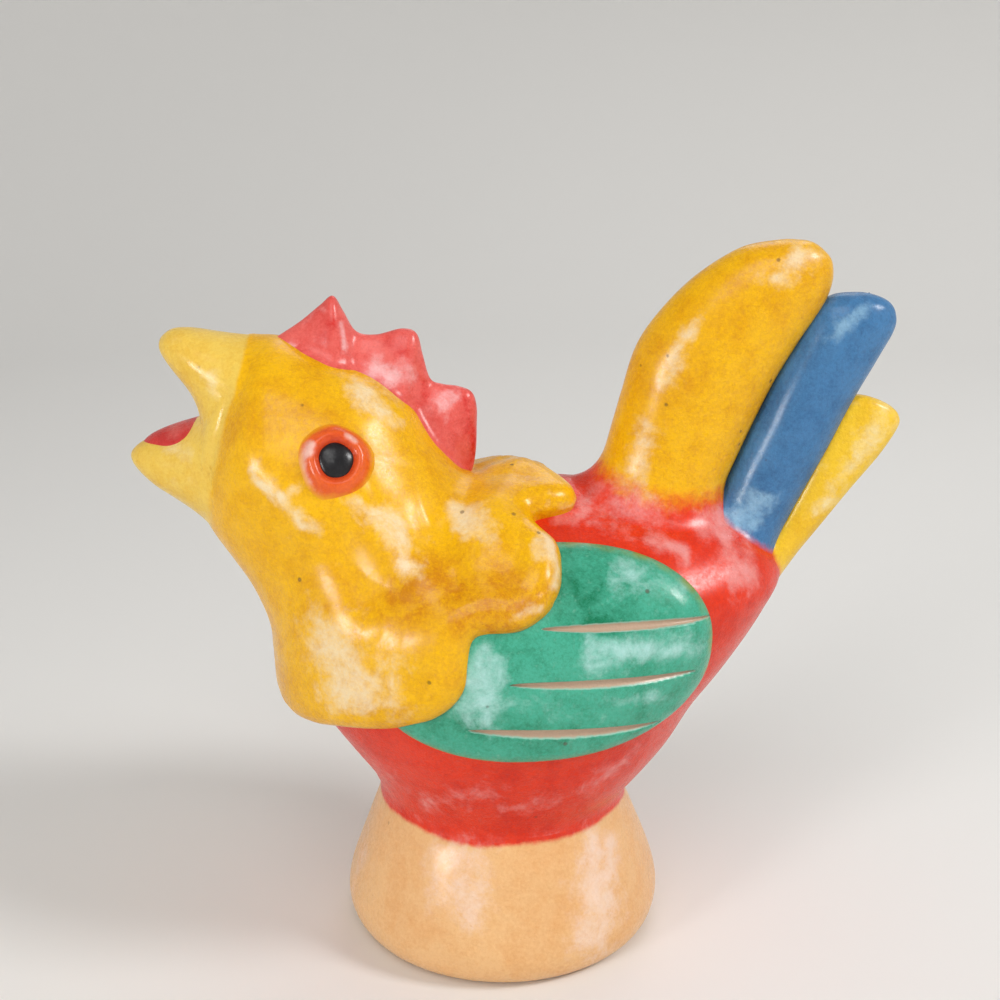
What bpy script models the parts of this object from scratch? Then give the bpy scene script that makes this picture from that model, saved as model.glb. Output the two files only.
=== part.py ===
"""Painted earthenware rooster on a flared foot, built from luted clay pieces.

Units are metres, +Z is up and the bird faces -X. The foot stands on z = 0.
A hollow thrown foot carries a hollow body. The cape, head, beak, comb, eyes, wings and tail
are formed by themselves and luted on with slip, so each seat is cut by the piece it sits on.
"""

import math

import bmesh
import bpy
import numpy as np
from mathutils import Matrix, Vector
from mathutils.bvhtree import BVHTree

MM = 0.001

# Driving sizes
SLIP_GAP = 0.3 * MM
WALL = 5.0 * MM

FOOT_HEIGHT = 36.7 * MM
FOOT_RADIUS = 39.4 * MM
FOOT_BULGE_HEIGHT = 9.0 * MM
RIM_RADIUS = 34.0 * MM
WAIST_RADIUS = 31.0 * MM

BODY_HEIGHT = 79.5 * MM
BREAST_REACH = 51.0 * MM
RUMP_REACH = 66.5 * MM
BODY_HALF_WIDTH = 42.5 * MM
BACK_PEAK_X = 15.0 * MM

CAPE_THICKNESS = 3.2 * MM
HEAD_HALF_WIDTH = 26.5 * MM
BEAK_HALF_WIDTH = 13.0 * MM
COMB_HALF_WIDTH = 5.5 * MM

EYE_RADIUS = 9.6 * MM
EYE_RISE = 2.6 * MM
PUPIL_RADIUS = 4.2 * MM

WING_RELIEF = 3.0 * MM
WING_LENGTH = 79.0 * MM
WING_DEPTH = 46.8 * MM
WING_FULLNESS = 2.5
GROOVE_DEPTH = 1.7 * MM
GROOVE_HALF_WIDTH = 1.7 * MM

FRONT_PLUME_HALF_WIDTH = 12.0 * MM
MIDDLE_PLUME_HALF_WIDTH = 8.0 * MM
REAR_PLUME_HALF_WIDTH = 5.0 * MM

# The bird reaches further back than forward, so the foot stands this far ahead of the middle.
FOOT_CENTRE_X = -2.7 * MM

BACK_TOP = FOOT_HEIGHT + BODY_HEIGHT
CUT_REACH = 3 * BODY_HALF_WIDTH

# Rail stations: one edge (x, height over the back), the other edge, share of the half width, in mm.
# Each station is one oval section that spans its two edges.
HEAD_AND_CAPE_STATIONS = (
    (-71.0, -9.0, -58.0, 34.3, 0.56),
    (-68.0, -13.5, -50.5, 33.4, 0.84),
    (-64.0, -19.5, -38.5, 28.8, 1.0),
    (-60.5, -25.7, -26.5, 23.3, 1.12),
    (-58.2, -33.0, -13.5, 12.8, 1.25),
    (-57.2, -41.0, -2.0, 3.8, 1.40),
    (-56.2, -48.5, 9.0, 2.2, 1.52),
    (-54.8, -56.0, 19.0, -2.0, 1.60),
    (-50.0, -64.0, 29.0, -12.0, 1.60),
    (-40.0, -72.0, 34.0, -24.0, 1.5),
)
NECK_JOINT_STATION = 4
UPPER_BEAK_STATIONS = (
    (-54.0, 33.6, -61.0, 12.0, 1.1),
    (-60.0, 34.3, -67.5, 15.4, 1.0),
    (-66.0, 34.8, -71.6, 19.4, 0.78),
    (-72.0, 35.4, -74.6, 24.0, 0.55),
    (-76.5, 34.6, -76.4, 28.2, 0.32),
)
UPPER_BEAK_TIP = (-79.0, 31.8)
LOWER_BEAK_STATIONS = (
    (-59.0, 14.5, -64.0, -11.0, 1.1),
    (-66.0, 14.5, -70.0, -8.9, 1.0),
    (-72.0, 13.0, -75.5, -6.0, 0.8),
    (-78.0, 10.8, -81.0, -3.0, 0.6),
    (-83.5, 9.2, -85.3, 0.6, 0.38),
)
LOWER_BEAK_TIP = (-88.0, 5.3)
TONGUE_STATIONS = (
    (-64.0, 18.0, -64.0, 9.5, 0.62),
    (-72.0, 15.8, -73.0, 7.5, 0.58),
    (-78.5, 13.6, -79.0, 6.0, 0.44),
    (-82.5, 11.0, -82.6, 5.8, 0.26),
)
TONGUE_TIP = (-85.0, 8.2)
COMB_STATIONS = (
    (-51.0, 24.0, -54.0, 33.0, 0.7),
    (-46.0, 22.0, -47.5, 37.0, 0.9),
    (-41.0, 20.0, -42.5, 40.6, 0.8),
    (-38.0, 19.0, -39.0, 43.0, 0.7),
    (-35.0, 18.0, -35.8, 38.0, 0.9),
    (-32.0, 17.0, -31.5, 34.2, 1.0),
    (-29.0, 15.5, -26.5, 35.0, 0.9),
    (-26.5, 13.5, -21.6, 36.0, 0.75),
    (-24.5, 11.0, -18.6, 32.0, 0.9),
    (-23.0, 8.5, -16.6, 25.0, 1.0),
    (-21.5, 6.5, -12.0, 23.4, 0.9),
    (-20.0, 4.5, -8.0, 20.6, 0.75),
    (-19.0, 2.0, -6.2, 15.0, 0.85),
    (-18.0, -1.0, -6.8, 8.0, 0.8),
    (-18.0, -4.0, -8.5, 2.5, 0.6),
)
FRONT_PLUME_STATIONS = (
    (21.0, -14.0, 46.0, -18.0, 1.0),
    (24.0, 6.8, 53.0, -0.2, 1.0),
    (27.5, 19.8, 58.0, 11.8, 0.96),
    (31.0, 31.3, 63.0, 23.3, 0.9),
    (37.0, 40.3, 68.0, 32.8, 0.83),
    (45.0, 48.3, 72.5, 40.8, 0.74),
    (54.0, 54.5, 75.4, 46.8, 0.6),
    (63.0, 56.1, 74.8, 51.6, 0.4),
)
FRONT_PLUME_TIP = (70.4, 55.4)
MIDDLE_PLUME_STATIONS = (
    (44.0, -20.0, 56.0, -28.0, 1.0),
    (50.0, -7.2, 67.3, -12.2, 1.0),
    (54.0, 3.8, 72.3, -2.7, 1.0),
    (58.5, 14.8, 77.5, 8.3, 1.0),
    (63.0, 24.8, 82.0, 18.3, 0.96),
    (67.5, 33.8, 87.0, 28.3, 0.88),
    (71.5, 39.8, 90.2, 35.3, 0.74),
    (77.0, 43.4, 89.6, 40.0, 0.46),
)
MIDDLE_PLUME_TIP = (84.0, 44.2)
REAR_PLUME_STATIONS = (
    (52.0, -24.0, 60.0, -31.0, 1.0),
    (61.0, -17.2, 70.2, -19.9, 1.0),
    (66.0, -8.2, 77.4, -10.5, 1.0),
    (71.0, 2.8, 83.2, -2.4, 0.95),
    (76.0, 13.8, 89.4, 5.8, 0.85),
    (80.0, 19.8, 93.0, 12.8, 0.65),
    (85.0, 20.6, 91.6, 16.6, 0.4),
)
REAR_PLUME_TIP = (89.2, 18.9)

# Body stations from waist to back: share of the height, then the shares of the breast, rump and half width.
BODY_BELLY_STATIONS = (
    (0.0, 0.0, 0.0, 0.0),
    (0.10, 0.15, 0.14, 0.22),
    (0.20, 0.42, 0.32, 0.5),
    (0.32, 0.75, 0.50, 0.78),
    (0.42, 0.92, 0.66, 0.94),
    (0.52, 0.97, 0.82, 1.0),
    (0.62, 0.82, 0.93, 0.97),
)
BODY_BACK_STATIONS = (
    (0.71, 0.82, 1.0, 0.945),
    (0.79, 0.72, 0.975, 0.83),
    (0.865, 0.56, 0.885, 0.66),
    (0.925, 0.36, 0.76, 0.46),
    (0.967, 0.16, 0.6, 0.27),
    (0.992, 0.03, 0.42, 0.11),
)

# The hem of the cape in side view: corners of its lobes, x and height over the back, in mm.
HEM_BREAST_LOBE = ((-80.0, -56.0), (-58.0, -58.0), (-50.0, -57.0), (-43.0, -53.0), (-36.4, -49.6), (-30.0, -48.2))
HEM_BIB_LOBE = ((-24.6, -47.4), (-19.5, -45.7), (-14.8, -43.9), (-10.3, -39.9), (-7.6, -35.0), (-7.2, -29.0))
HEM_SIDE_LOBE = ((-5.7, -23.2), (2.5, -22.5), (7.4, -20.4), (10.7, -17.4), (12.7, -14.1), (13.2, -10.3))
HEM_ABOVE = ((14.0, -6.0), (24.0, 0.0), (24.0, 20.0), (-20.0, 50.0), (-80.0, 50.0))
# The hem over the nape in plan, from the middle to the left: x and distance from the middle, in mm.
NAPE_LOBE = ((11.5, 0.0), (12.5, 4.0), (14.2, 9.5), (16.4, 15.0), (15.4, 18.8), (11.3, 19.8), (5.6, 20.8))
NAPE_SIDE = ((8.9, 23.7), (12.0, 28.7), (14.0, 34.0), (40.0, 60.0))
NAPE_FLOOR = -6.0

EYE_PLACE = (-37.0, 11.0)
WING_CENTRE = (8.0, -31.7)
GROOVES = (((8.3, -23.0), (45.8, -24.0)), ((1.4, -34.3), (42.1, -36.1)), ((-7.5, -45.4), (34.4, -48.2)))

RING_POINTS = 36
SMALL_RING_POINTS = 20
STEPS_PER_STATION = 2


# Shape functions

def spline(table, steps):
    """Rows of a table joined by Catmull-Rom curves, with the given number of steps between rows."""
    rows = np.array(table, float)
    padded = np.vstack([2 * rows[0] - rows[1], rows, 2 * rows[-1] - rows[-2]])
    out = []
    for i in range(len(rows) - 1):
        p0, p1, p2, p3 = padded[i:i + 4]
        for t in np.arange(steps) / steps:
            out.append(0.5 * (2 * p1 + (p2 - p0) * t + (2 * p0 - 5 * p1 + 4 * p2 - p3) * t**2
                              + (3 * p1 - p0 - 3 * p2 + p3) * t**3))
    out.append(rows[-1])
    return np.array(out)


def side_point(x_mm, over_back_mm):
    """A point of the middle plane, given in mm from the foot's axis and over the back."""
    return np.array([x_mm * MM, 0.0, BACK_TOP + over_back_mm * MM])


def rail_rings(stations, half_width, grow=0.0, points=SMALL_RING_POINTS):
    """Oval sections that span two rails in the middle plane, grown outwards all round."""
    turn = np.arange(points) * 2 * math.pi / points
    rings = []
    for ax, az, bx, bz, share in spline(stations, STEPS_PER_STATION):
        edge, other = side_point(ax, az), side_point(bx, bz)
        middle, half = (edge + other) / 2, (edge - other) / 2
        half = half * (1 + grow / np.linalg.norm(half))
        across = np.array([0.0, half_width * share + grow, 0.0])
        rings.append(middle + np.outer(np.cos(turn), half) + np.outer(np.sin(turn), across))
    return rings


def tip_point(stations, tip, grow=0.0):
    """The point that closes a rail loft, moved outwards with its last section."""
    last = np.array(stations[-1], float)
    end = side_point(*tip)
    away = end - side_point((last[0] + last[2]) / 2, (last[1] + last[3]) / 2)
    return end + away / np.linalg.norm(away) * grow


def body_rows(grow=0.0):
    """Height, breast reach, rump reach and half width of the body's level sections."""
    full = np.array([BREAST_REACH, RUMP_REACH, BODY_HALF_WIDTH])
    table = [[h, *(WAIST_RADIUS + (full - WAIST_RADIUS) * s)] for h, *s in np.array(BODY_BELLY_STATIONS)]
    table += [[h, *(full * s)] for h, *s in np.array(BODY_BACK_STATIONS)]
    rows = spline(table, STEPS_PER_STATION)
    rows[:, 0] = FOOT_HEIGHT + SLIP_GAP + rows[:, 0] * (BODY_HEIGHT - SLIP_GAP + grow)
    rows[:, 1:] += grow
    return rows


def body_ring(row, points=RING_POINTS):
    """One level section: an egg with its own reach forward and back."""
    height, breast, rump, half_width = row
    turn = np.arange(points) * 2 * math.pi / points
    reach = np.where(np.cos(turn) > 0, rump, breast)
    return np.stack([reach * np.cos(turn), half_width * np.sin(turn), np.full(points, height)], 1)


def level_share(points, rows):
    """How far out points lie in the body's level section: below one is inside the body."""
    breast, rump, half_width = (np.interp(points[:, 2], rows[:, 0], rows[:, k]) for k in (1, 2, 3))
    along = np.where(points[:, 0] > 0, rump, breast)
    share = np.hypot(points[:, 0] / along, points[:, 1] / half_width)
    return np.where(points[:, 2] > rows[-1, 0], math.inf, share)


def draped(rings, clear):
    """Rings pushed away from the body's middle until they clear its surface by the given distance."""
    rows = body_rows(clear)
    heart = side_point(BACK_PEAK_X / MM / 2, -0.45 * BODY_HEIGHT / MM)
    out = []
    for ring in rings:
        away = ring - heart
        low, high = np.zeros(len(ring)), np.full(len(ring), 4.0)
        for _ in range(30):
            half = (low + high) / 2
            inside = level_share(heart + away * half[:, None], rows) < 1
            low, high = np.where(inside, half, low), np.where(inside, high, half)
        out.append(heart + away * np.maximum(1.0, high)[:, None])
    return out


# Mesh and modifier helpers

def new_object(name, mesh, group, material=None):
    """Links a mesh into a collection and hangs it on the assembly's empty."""
    thing = bpy.data.objects.new(name, mesh)
    group.objects.link(thing)
    thing.parent = ASSEMBLY
    if material:
        mesh.materials.append(material)
    return thing


def loft(name, rings, group, material=None, start=None, end=None):
    """A closed skin over rings of equal count, each end closed by a point or by a flat cap."""
    bm = bmesh.new()
    loops = [[bm.verts.new(p) for p in ring] for ring in rings]
    for low, high in zip(loops, loops[1:]):
        for i in range(len(low)):
            bm.faces.new((low[i - 1], low[i], high[i], high[i - 1]))
    for loop, point in ((loops[0], start), (loops[-1], end)):
        if point is None:
            bm.faces.new(loop)
            continue
        pole = bm.verts.new(point)
        for i in range(len(loop)):
            bm.faces.new((loop[i - 1], loop[i], pole))
    bmesh.ops.recalc_face_normals(bm, faces=bm.faces)
    mesh = bpy.data.meshes.new(name)
    bm.to_mesh(mesh)
    bm.free()
    mesh.shade_smooth()
    mesh.set_sharp_from_angle(angle=math.radians(40))
    thing = new_object(name, mesh, group, material)
    if group == CUTTERS:
        thing.hide_render = True
        thing.display_type = "WIRE"
    return thing


def prism(name, outline, axis, low, high):
    """A cutter: an outline in the plane square to axis 1 (Y) or 2 (Z), extruded from low to high."""
    flat = np.array(outline)
    rings = [np.insert(flat, axis, level, axis=1) for level in (low, high)]
    return loft(name, rings, CUTTERS)


def boolean(target, cutter, operation):
    modifier = target.modifiers.new(f"{operation.lower()}_{cutter.name}", "BOOLEAN")
    modifier.operation = operation
    modifier.object = cutter


def cut(target, *cutters):
    for cutter in cutters:
        boolean(target, cutter, "DIFFERENCE")


def fired_clay(name, colour, roughness):
    """A painted or bare clay finish."""
    finish = bpy.data.materials.new(name)
    finish.use_nodes = True
    shader = finish.node_tree.nodes["Principled BSDF"]
    shader.inputs["Base Color"].default_value = (*colour, 1.0)
    shader.inputs["Roughness"].default_value = roughness
    shader.inputs["Metallic"].default_value = 0.0
    finish.diffuse_color = (*colour, 1.0)
    return finish


# Pieces

def make_foot(material):
    """The thrown foot: a hollow flared ring, turned from its wall's section."""
    bulge = FOOT_BULGE_HEIGHT
    flare = FOOT_HEIGHT - bulge
    outer = [(WAIST_RADIUS, FOOT_HEIGHT)]
    for t in np.arange(1, 9) / 8:
        ease = t**1.15 * (1.9 - 0.9 * t)
        outer.append((WAIST_RADIUS + (FOOT_RADIUS - WAIST_RADIUS) * min(ease, 1.0), FOOT_HEIGHT - flare * t))
    for turn in np.radians((30, 60, 90)):
        outer.append((RIM_RADIUS + (FOOT_RADIUS - RIM_RADIUS) * math.cos(turn), bulge * (1 - math.sin(turn))))
    inner = [(r - WALL, max(z, 0.0)) for r, z in reversed(outer) if z > WALL or z == FOOT_HEIGHT]
    inner.insert(0, (RIM_RADIUS - WALL, 0.0))
    mesh = bpy.data.meshes.new("foot")
    profile = outer + inner
    count = len(profile)
    mesh.from_pydata([(r, 0.0, z) for r, z in profile], [(i, (i + 1) % count) for i in range(count)], [])
    foot = new_object("foot", mesh, PARTS, material)
    turned = foot.modifiers.new("turned", "SCREW")
    turned.steps = turned.render_steps = 40
    turned.use_merge_vertices = True
    turned.merge_threshold = 0.00005
    turned.use_smooth_shade = True
    return foot


def make_body(material):
    """The hollow body: an egg-shaped shell, open below onto the foot."""
    outer_rows = body_rows()
    inner_rows = outer_rows.copy()
    share = (outer_rows[:, 0] - outer_rows[0, 0]) / (BACK_TOP - outer_rows[0, 0])
    inner_rows[:, 0] -= WALL * share
    inner_rows[:, 1:] -= WALL
    inner_rows = inner_rows[inner_rows[:, 3] > WALL][::2][::-1]
    rings = [body_ring(row) for row in inner_rows] + [body_ring(row) for row in outer_rows]
    ceiling = (BACK_PEAK_X, 0.0, inner_rows[0, 0] + SLIP_GAP)
    return loft("body", rings, PARTS, material, start=ceiling, end=(BACK_PEAK_X, 0.0, BACK_TOP))


def body_solid(name, grow, group, material=None):
    """The body's outer form without its hollow, grown outwards."""
    rings = [body_ring(row) for row in body_rows(grow)]
    return loft(name, rings, group, material, end=(BACK_PEAK_X, 0.0, BACK_TOP + grow))


def hem_outline(grow=0.0):
    """The cape's hem in side view, as a smooth outline grown away from its middle."""
    corners = HEM_BREAST_LOBE + HEM_BIB_LOBE + HEM_SIDE_LOBE + HEM_ABOVE
    points = np.array([side_point(*c)[[0, 2]] for c in corners])
    middle = side_point(-30.0, -15.0)[[0, 2]]
    away = points - middle
    return points + away / np.linalg.norm(away, axis=1)[:, None] * grow


def head_rings(grow=0.0):
    """Sections from the face to the neck joint."""
    rings = rail_rings(HEAD_AND_CAPE_STATIONS, HEAD_HALF_WIDTH, grow, RING_POINTS)
    return rings[:NECK_JOINT_STATION * STEPS_PER_STATION + 1]


def cape_rings(grow=0.0):
    """Sections from the neck joint down over the shoulders."""
    rings = rail_rings(HEAD_AND_CAPE_STATIONS, HEAD_HALF_WIDTH, grow, RING_POINTS)
    return rings[NECK_JOINT_STATION * STEPS_PER_STATION:]


def make_cape(material, body_seat):
    """The neck and its cape, which falls over the shoulders and ends in a lobed hem."""
    rings = cape_rings()
    joint = np.cross(rings[0][1] - rings[0][0], rings[0][2] - rings[0][0])
    joint = joint / np.linalg.norm(joint)
    away = rings[1].mean(0) - rings[0].mean(0)
    rings[0] = rings[0] + joint * math.copysign(SLIP_GAP, joint @ away)
    cape = loft("cape", draped(rings, CAPE_THICKNESS), PARTS, material)
    boolean(cape, prism("hem_cutter", hem_outline(), 1, -CUT_REACH, CUT_REACH), "INTERSECT")
    left_half = NAPE_LOBE + NAPE_SIDE
    scallops = [(x * MM, y * MM) for x, y in left_half[:0:-1]] + [(x * MM, -y * MM) for x, y in left_half]
    floor = BACK_TOP + NAPE_FLOOR * MM
    cut(cape, prism("nape_cutter", scallops, 2, floor, BACK_TOP + CUT_REACH), body_seat)
    return cape


def wing_outline():
    """A full oval with flattened sides."""
    turn = np.arange(RING_POINTS) * 2 * math.pi / RING_POINTS
    circle = np.stack([np.cos(turn), np.sin(turn)], 1)
    oval = np.sign(circle) * np.abs(circle) ** (2 / WING_FULLNESS)
    return side_point(*WING_CENTRE)[[0, 2]] + oval * np.array([WING_LENGTH, WING_DEPTH]) / 2


def groove_cutter(name, ends, side):
    """A leaf-shaped sliver that lies along the wing's face and opens one feather groove."""
    rows = body_rows(WING_RELIEF)
    turn = np.arange(8) * 2 * math.pi / 8
    first, last = (side_point(*end) for end in ends)
    rings = []
    for t in np.linspace(0.0, 1.0, 9):
        middle = first + (last - first) * t
        breast, rump, half_width = (np.interp(middle[2], rows[:, 0], rows[:, k]) for k in (1, 2, 3))
        along = rump if middle[0] > 0 else breast
        middle[1] = side * half_width * math.sqrt(max(0.05, 1 - (middle[0] / along) ** 2))
        swell = 0.12 + 0.88 * math.sin(math.pi * t)
        deep, wide = GROOVE_DEPTH * swell * np.cos(turn), GROOVE_HALF_WIDTH * swell * np.sin(turn)
        rings.append(middle + np.stack([np.zeros(len(turn)), deep, wide], 1))
    return loft(name, rings, CUTTERS)


def make_wing(name, side, material, body_seat, hem_seat):
    """A wing: a low slab that follows the body, tucked under the hem, with three carved grooves."""
    wing = body_solid(name, WING_RELIEF, PARTS, material)
    near, far = sorted((side * WALL, side * CUT_REACH))
    boolean(wing, prism(f"{name}_outline", wing_outline(), 1, near, far), "INTERSECT")
    cut(wing, body_seat, hem_seat)
    for number, ends in enumerate(GROOVES, 1):
        cut(wing, groove_cutter(f"{name}_groove_{number}", ends, side))
    return wing


def rail_piece(name, stations, tip, half_width, material):
    """A tapering piece lofted between two rails, closed in a point, and its grown double for cutting seats."""
    piece = loft(name, rail_rings(stations, half_width), PARTS, material, end=tip_point(stations, tip))
    grown = rail_rings(stations, half_width, SLIP_GAP)
    seat = loft(f"{name}_seat", grown, CUTTERS, end=tip_point(stations, tip, SLIP_GAP))
    return piece, seat


def make_eye(side_name, side, head, head_seat, ring_material, pupil_material):
    """A rolled ring and a bead pressed into it, both seated square on the side of the head."""
    start = Vector(side_point(*EYE_PLACE)) + Vector((0.0, side * CUT_REACH, 0.0))
    shape = bmesh.new()
    shape.from_mesh(head.data)
    place, normal, _, _ = BVHTree.FromBMesh(shape).ray_cast(start, Vector((0.0, -side, 0.0)))
    shape.free()
    seat = Matrix.Translation(place) @ normal.to_track_quat("Z", "Y").to_matrix().to_4x4()
    hole = PUPIL_RADIUS + SLIP_GAP
    middle = (EYE_RADIUS + hole) / 2
    half = (EYE_RADIUS - hole) / 2
    sunk = EYE_RISE
    ring_profile = [(hole, -sunk), (hole, EYE_RISE * 0.35)]
    ring_profile += [(middle - half * math.cos(a), EYE_RISE * (0.35 + 0.65 * math.sin(a)))
                     for a in np.radians((30, 60, 90, 120, 150))]
    ring_profile += [(EYE_RADIUS, EYE_RISE * 0.35), (EYE_RADIUS, -sunk)]
    bead_profile = [(0.0, -sunk), (PUPIL_RADIUS, -sunk), (PUPIL_RADIUS, EYE_RISE * 0.3)]
    bead_profile += [(PUPIL_RADIUS * math.cos(a), EYE_RISE * (0.3 + 0.5 * math.sin(a)))
                     for a in np.radians((30, 60))]
    bead_profile += [(0.0, EYE_RISE * 0.8)]
    for name, profile, material, closed in ((f"eye_ring_{side_name}", ring_profile, ring_material, True),
                                            (f"pupil_{side_name}", bead_profile, pupil_material, False)):
        mesh = bpy.data.meshes.new(name)
        turned = profile[::-1]
        count = len(turned)
        edges = [(i, (i + 1) % count) for i in range(count if closed else count - 1)]
        mesh.from_pydata([(r, 0.0, z) for r, z in turned], edges, [])
        piece = new_object(name, mesh, PARTS, material)
        piece.matrix_local = seat
        screw = piece.modifiers.new("turned", "SCREW")
        screw.steps = screw.render_steps = 24
        screw.use_merge_vertices = True
        screw.merge_threshold = 0.00005
        screw.use_smooth_shade = True
        cut(piece, head_seat)


def main():
    terracotta = fired_clay("bare_clay", (0.80, 0.50, 0.27), 0.45)
    red = fired_clay("red_paint", (0.85, 0.07, 0.04), 0.35)
    yellow = fired_clay("yellow_paint", (0.90, 0.55, 0.02), 0.35)
    pale = fired_clay("pale_yellow_paint", (0.93, 0.72, 0.24), 0.35)
    green = fired_clay("green_paint", (0.05, 0.45, 0.28), 0.4)
    blue = fired_clay("blue_paint", (0.06, 0.19, 0.42), 0.4)
    comb_red = fired_clay("comb_paint", (0.84, 0.10, 0.09), 0.35)
    tongue_red = fired_clay("tongue_paint", (0.78, 0.08, 0.06), 0.35)
    orange = fired_clay("orange_paint", (0.90, 0.18, 0.03), 0.35)
    black = fired_clay("black_paint", (0.02, 0.02, 0.02), 0.25)

    make_foot(terracotta)
    make_body(red)
    body_seat = body_solid("body_seat", SLIP_GAP, CUTTERS)

    head = loft("head", head_rings(), PARTS, yellow)
    head_seat = loft("head_seat", head_rings(SLIP_GAP), CUTTERS)
    make_cape(yellow, body_seat)
    neck_seat = loft("neck_seat", cape_rings(SLIP_GAP), CUTTERS)

    hem_seat = prism("hem_seat", hem_outline(SLIP_GAP), 1, -CUT_REACH, CUT_REACH)
    for name, side in (("wing_left", -1), ("wing_right", 1)):
        make_wing(name, side, green, body_seat, hem_seat)

    upper, upper_seat = rail_piece("beak_upper", UPPER_BEAK_STATIONS, UPPER_BEAK_TIP, BEAK_HALF_WIDTH, pale)
    lower, lower_seat = rail_piece("beak_lower", LOWER_BEAK_STATIONS, LOWER_BEAK_TIP, BEAK_HALF_WIDTH, pale)
    tongue, tongue_seat = rail_piece("tongue", TONGUE_STATIONS, TONGUE_TIP, BEAK_HALF_WIDTH, tongue_red)
    cut(upper, head_seat)
    cut(lower, head_seat, upper_seat, tongue_seat)
    cut(tongue, head_seat, upper_seat)

    comb = loft("comb", rail_rings(COMB_STATIONS, COMB_HALF_WIDTH, points=14), PARTS, comb_red)
    cut(comb, head_seat, neck_seat)

    front, front_seat = rail_piece("tail_plume_front", FRONT_PLUME_STATIONS, FRONT_PLUME_TIP,
                                   FRONT_PLUME_HALF_WIDTH, yellow)
    middle, middle_seat = rail_piece("tail_plume_middle", MIDDLE_PLUME_STATIONS, MIDDLE_PLUME_TIP,
                                     MIDDLE_PLUME_HALF_WIDTH, blue)
    rear, _ = rail_piece("tail_plume_rear", REAR_PLUME_STATIONS, REAR_PLUME_TIP, REAR_PLUME_HALF_WIDTH, yellow)
    cut(front, body_seat)
    cut(middle, body_seat, front_seat)
    cut(rear, body_seat, front_seat, middle_seat)

    for side_name, side in (("left", -1), ("right", 1)):
        make_eye(side_name, side, head, head_seat, orange, black)


for thing in list(bpy.data.objects):
    bpy.data.objects.remove(thing)

PARTS = bpy.data.collections.new("pottery_rooster")
CUTTERS = bpy.data.collections.new("cutters")
bpy.context.scene.collection.children.link(PARTS)
bpy.context.scene.collection.children.link(CUTTERS)
ASSEMBLY = bpy.data.objects.new("assembly", None)
PARTS.objects.link(ASSEMBLY)
ASSEMBLY.location = (FOOT_CENTRE_X, 0.0, 0.0)

main()
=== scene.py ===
"""Looks of a painted earthenware rooster on a flared foot.

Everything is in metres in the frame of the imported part: +Z is up and the bird faces -X.
The pieces follow the order in which the bird is put together, from the foot up.
"""

import math

import bmesh
import bpy
import numpy as np
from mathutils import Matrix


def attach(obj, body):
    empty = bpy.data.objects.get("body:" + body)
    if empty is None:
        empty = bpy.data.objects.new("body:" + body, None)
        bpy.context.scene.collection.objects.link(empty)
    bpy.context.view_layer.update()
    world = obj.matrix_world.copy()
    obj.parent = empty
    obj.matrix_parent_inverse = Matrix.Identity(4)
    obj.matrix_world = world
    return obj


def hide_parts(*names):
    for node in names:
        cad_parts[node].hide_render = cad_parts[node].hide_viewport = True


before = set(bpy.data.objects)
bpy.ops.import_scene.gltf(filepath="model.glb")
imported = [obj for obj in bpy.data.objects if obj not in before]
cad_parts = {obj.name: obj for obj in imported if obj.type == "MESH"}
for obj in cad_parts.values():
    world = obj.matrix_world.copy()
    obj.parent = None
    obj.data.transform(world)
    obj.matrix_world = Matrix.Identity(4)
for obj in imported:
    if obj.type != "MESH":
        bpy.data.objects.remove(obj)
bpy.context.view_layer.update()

MM = 0.001


# FOOT
# A hollow flared ring, thrown on the wheel and cut off at the waist. It is bare terracotta,
# burnished and waxed, and the whole bird stands on its rounded rim.

FOOT_X = -2.7 * MM
WAIST_HEIGHT = 36.7 * MM
FOOT_WALL = 5.0 * MM
HAND_WOBBLE = 0.4 * MM
# Below this height the wobble of the hand fades out, so that the bird stands flat.
STANDING_HEIGHT = 12.0 * MM
# The heights between which the wall of the hollow runs.
HOLLOW_START, HOLLOW_END = 3.0 * MM, WAIST_HEIGHT + 1.5 * MM
# Rows down the outside to the edge of the hollow, and how many of them come before the rim turns under.
OUTER_ROWS, RIM_ROW = 140, 110
HOLLOW_ROWS, FOOT_COLUMNS = 40, 256
BRUSH_SOFTNESS = 3.0 * MM

# Outer radius and height from the waist down to the ring that it stands on, in mm.
FOOT_PROFILE = (
    (30.5, 39.6), (30.9, 38.2), (31.0, 36.7), (31.2, 35.0), (31.9, 32.6), (33.5, 28.6), (35.3, 23.6),
    (37.2, 18.0), (38.7, 13.0), (39.4, 8.8), (38.9, 5.0), (37.4, 2.2), (35.2, 0.5), (33.2, 0.0),
    (30.6, 0.3), (29.2, 1.6),
)


def along(table, place, end=None):
    """Rows of a table read at fractional places: the cubic through the two nearest rows, whose slope
    at a row is half the difference of its neighbours. A given end row stands in for the one past the
    last."""
    rows = np.asarray(table, float)
    after = 2 * rows[-1] - rows[-2] if end is None else np.asarray(end, float)
    rows_padded = np.vstack([2 * rows[0] - rows[1], rows, after])
    start = np.clip(np.floor(place).astype(int), 0, len(rows) - 2)
    t = (place - start)[:, None]
    p0, p1, p2, p3 = (rows_padded[start + k] for k in range(4))
    return 0.5 * (2 * p1 + (p2 - p0) * t + (2 * p0 - 5 * p1 + 4 * p2 - p3) * t**2
                  + (3 * p1 - p0 - 3 * p2 + p3) * t**3)


def outward(points):
    """Unit normals of a grid whose columns close in a ring: the cross product of the steps along
    the rows and around the ring, turned to face away from the middle."""
    down = np.gradient(points, axis=0)
    around = np.roll(points, -1, axis=1) - np.roll(points, 1, axis=1)
    normal = np.cross(around, down)
    if (normal * (points - points.mean(axis=(0, 1)))).sum() < 0:
        normal = -normal
    return normal / np.maximum(np.linalg.norm(normal, axis=2, keepdims=True), 1e-12)


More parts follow.
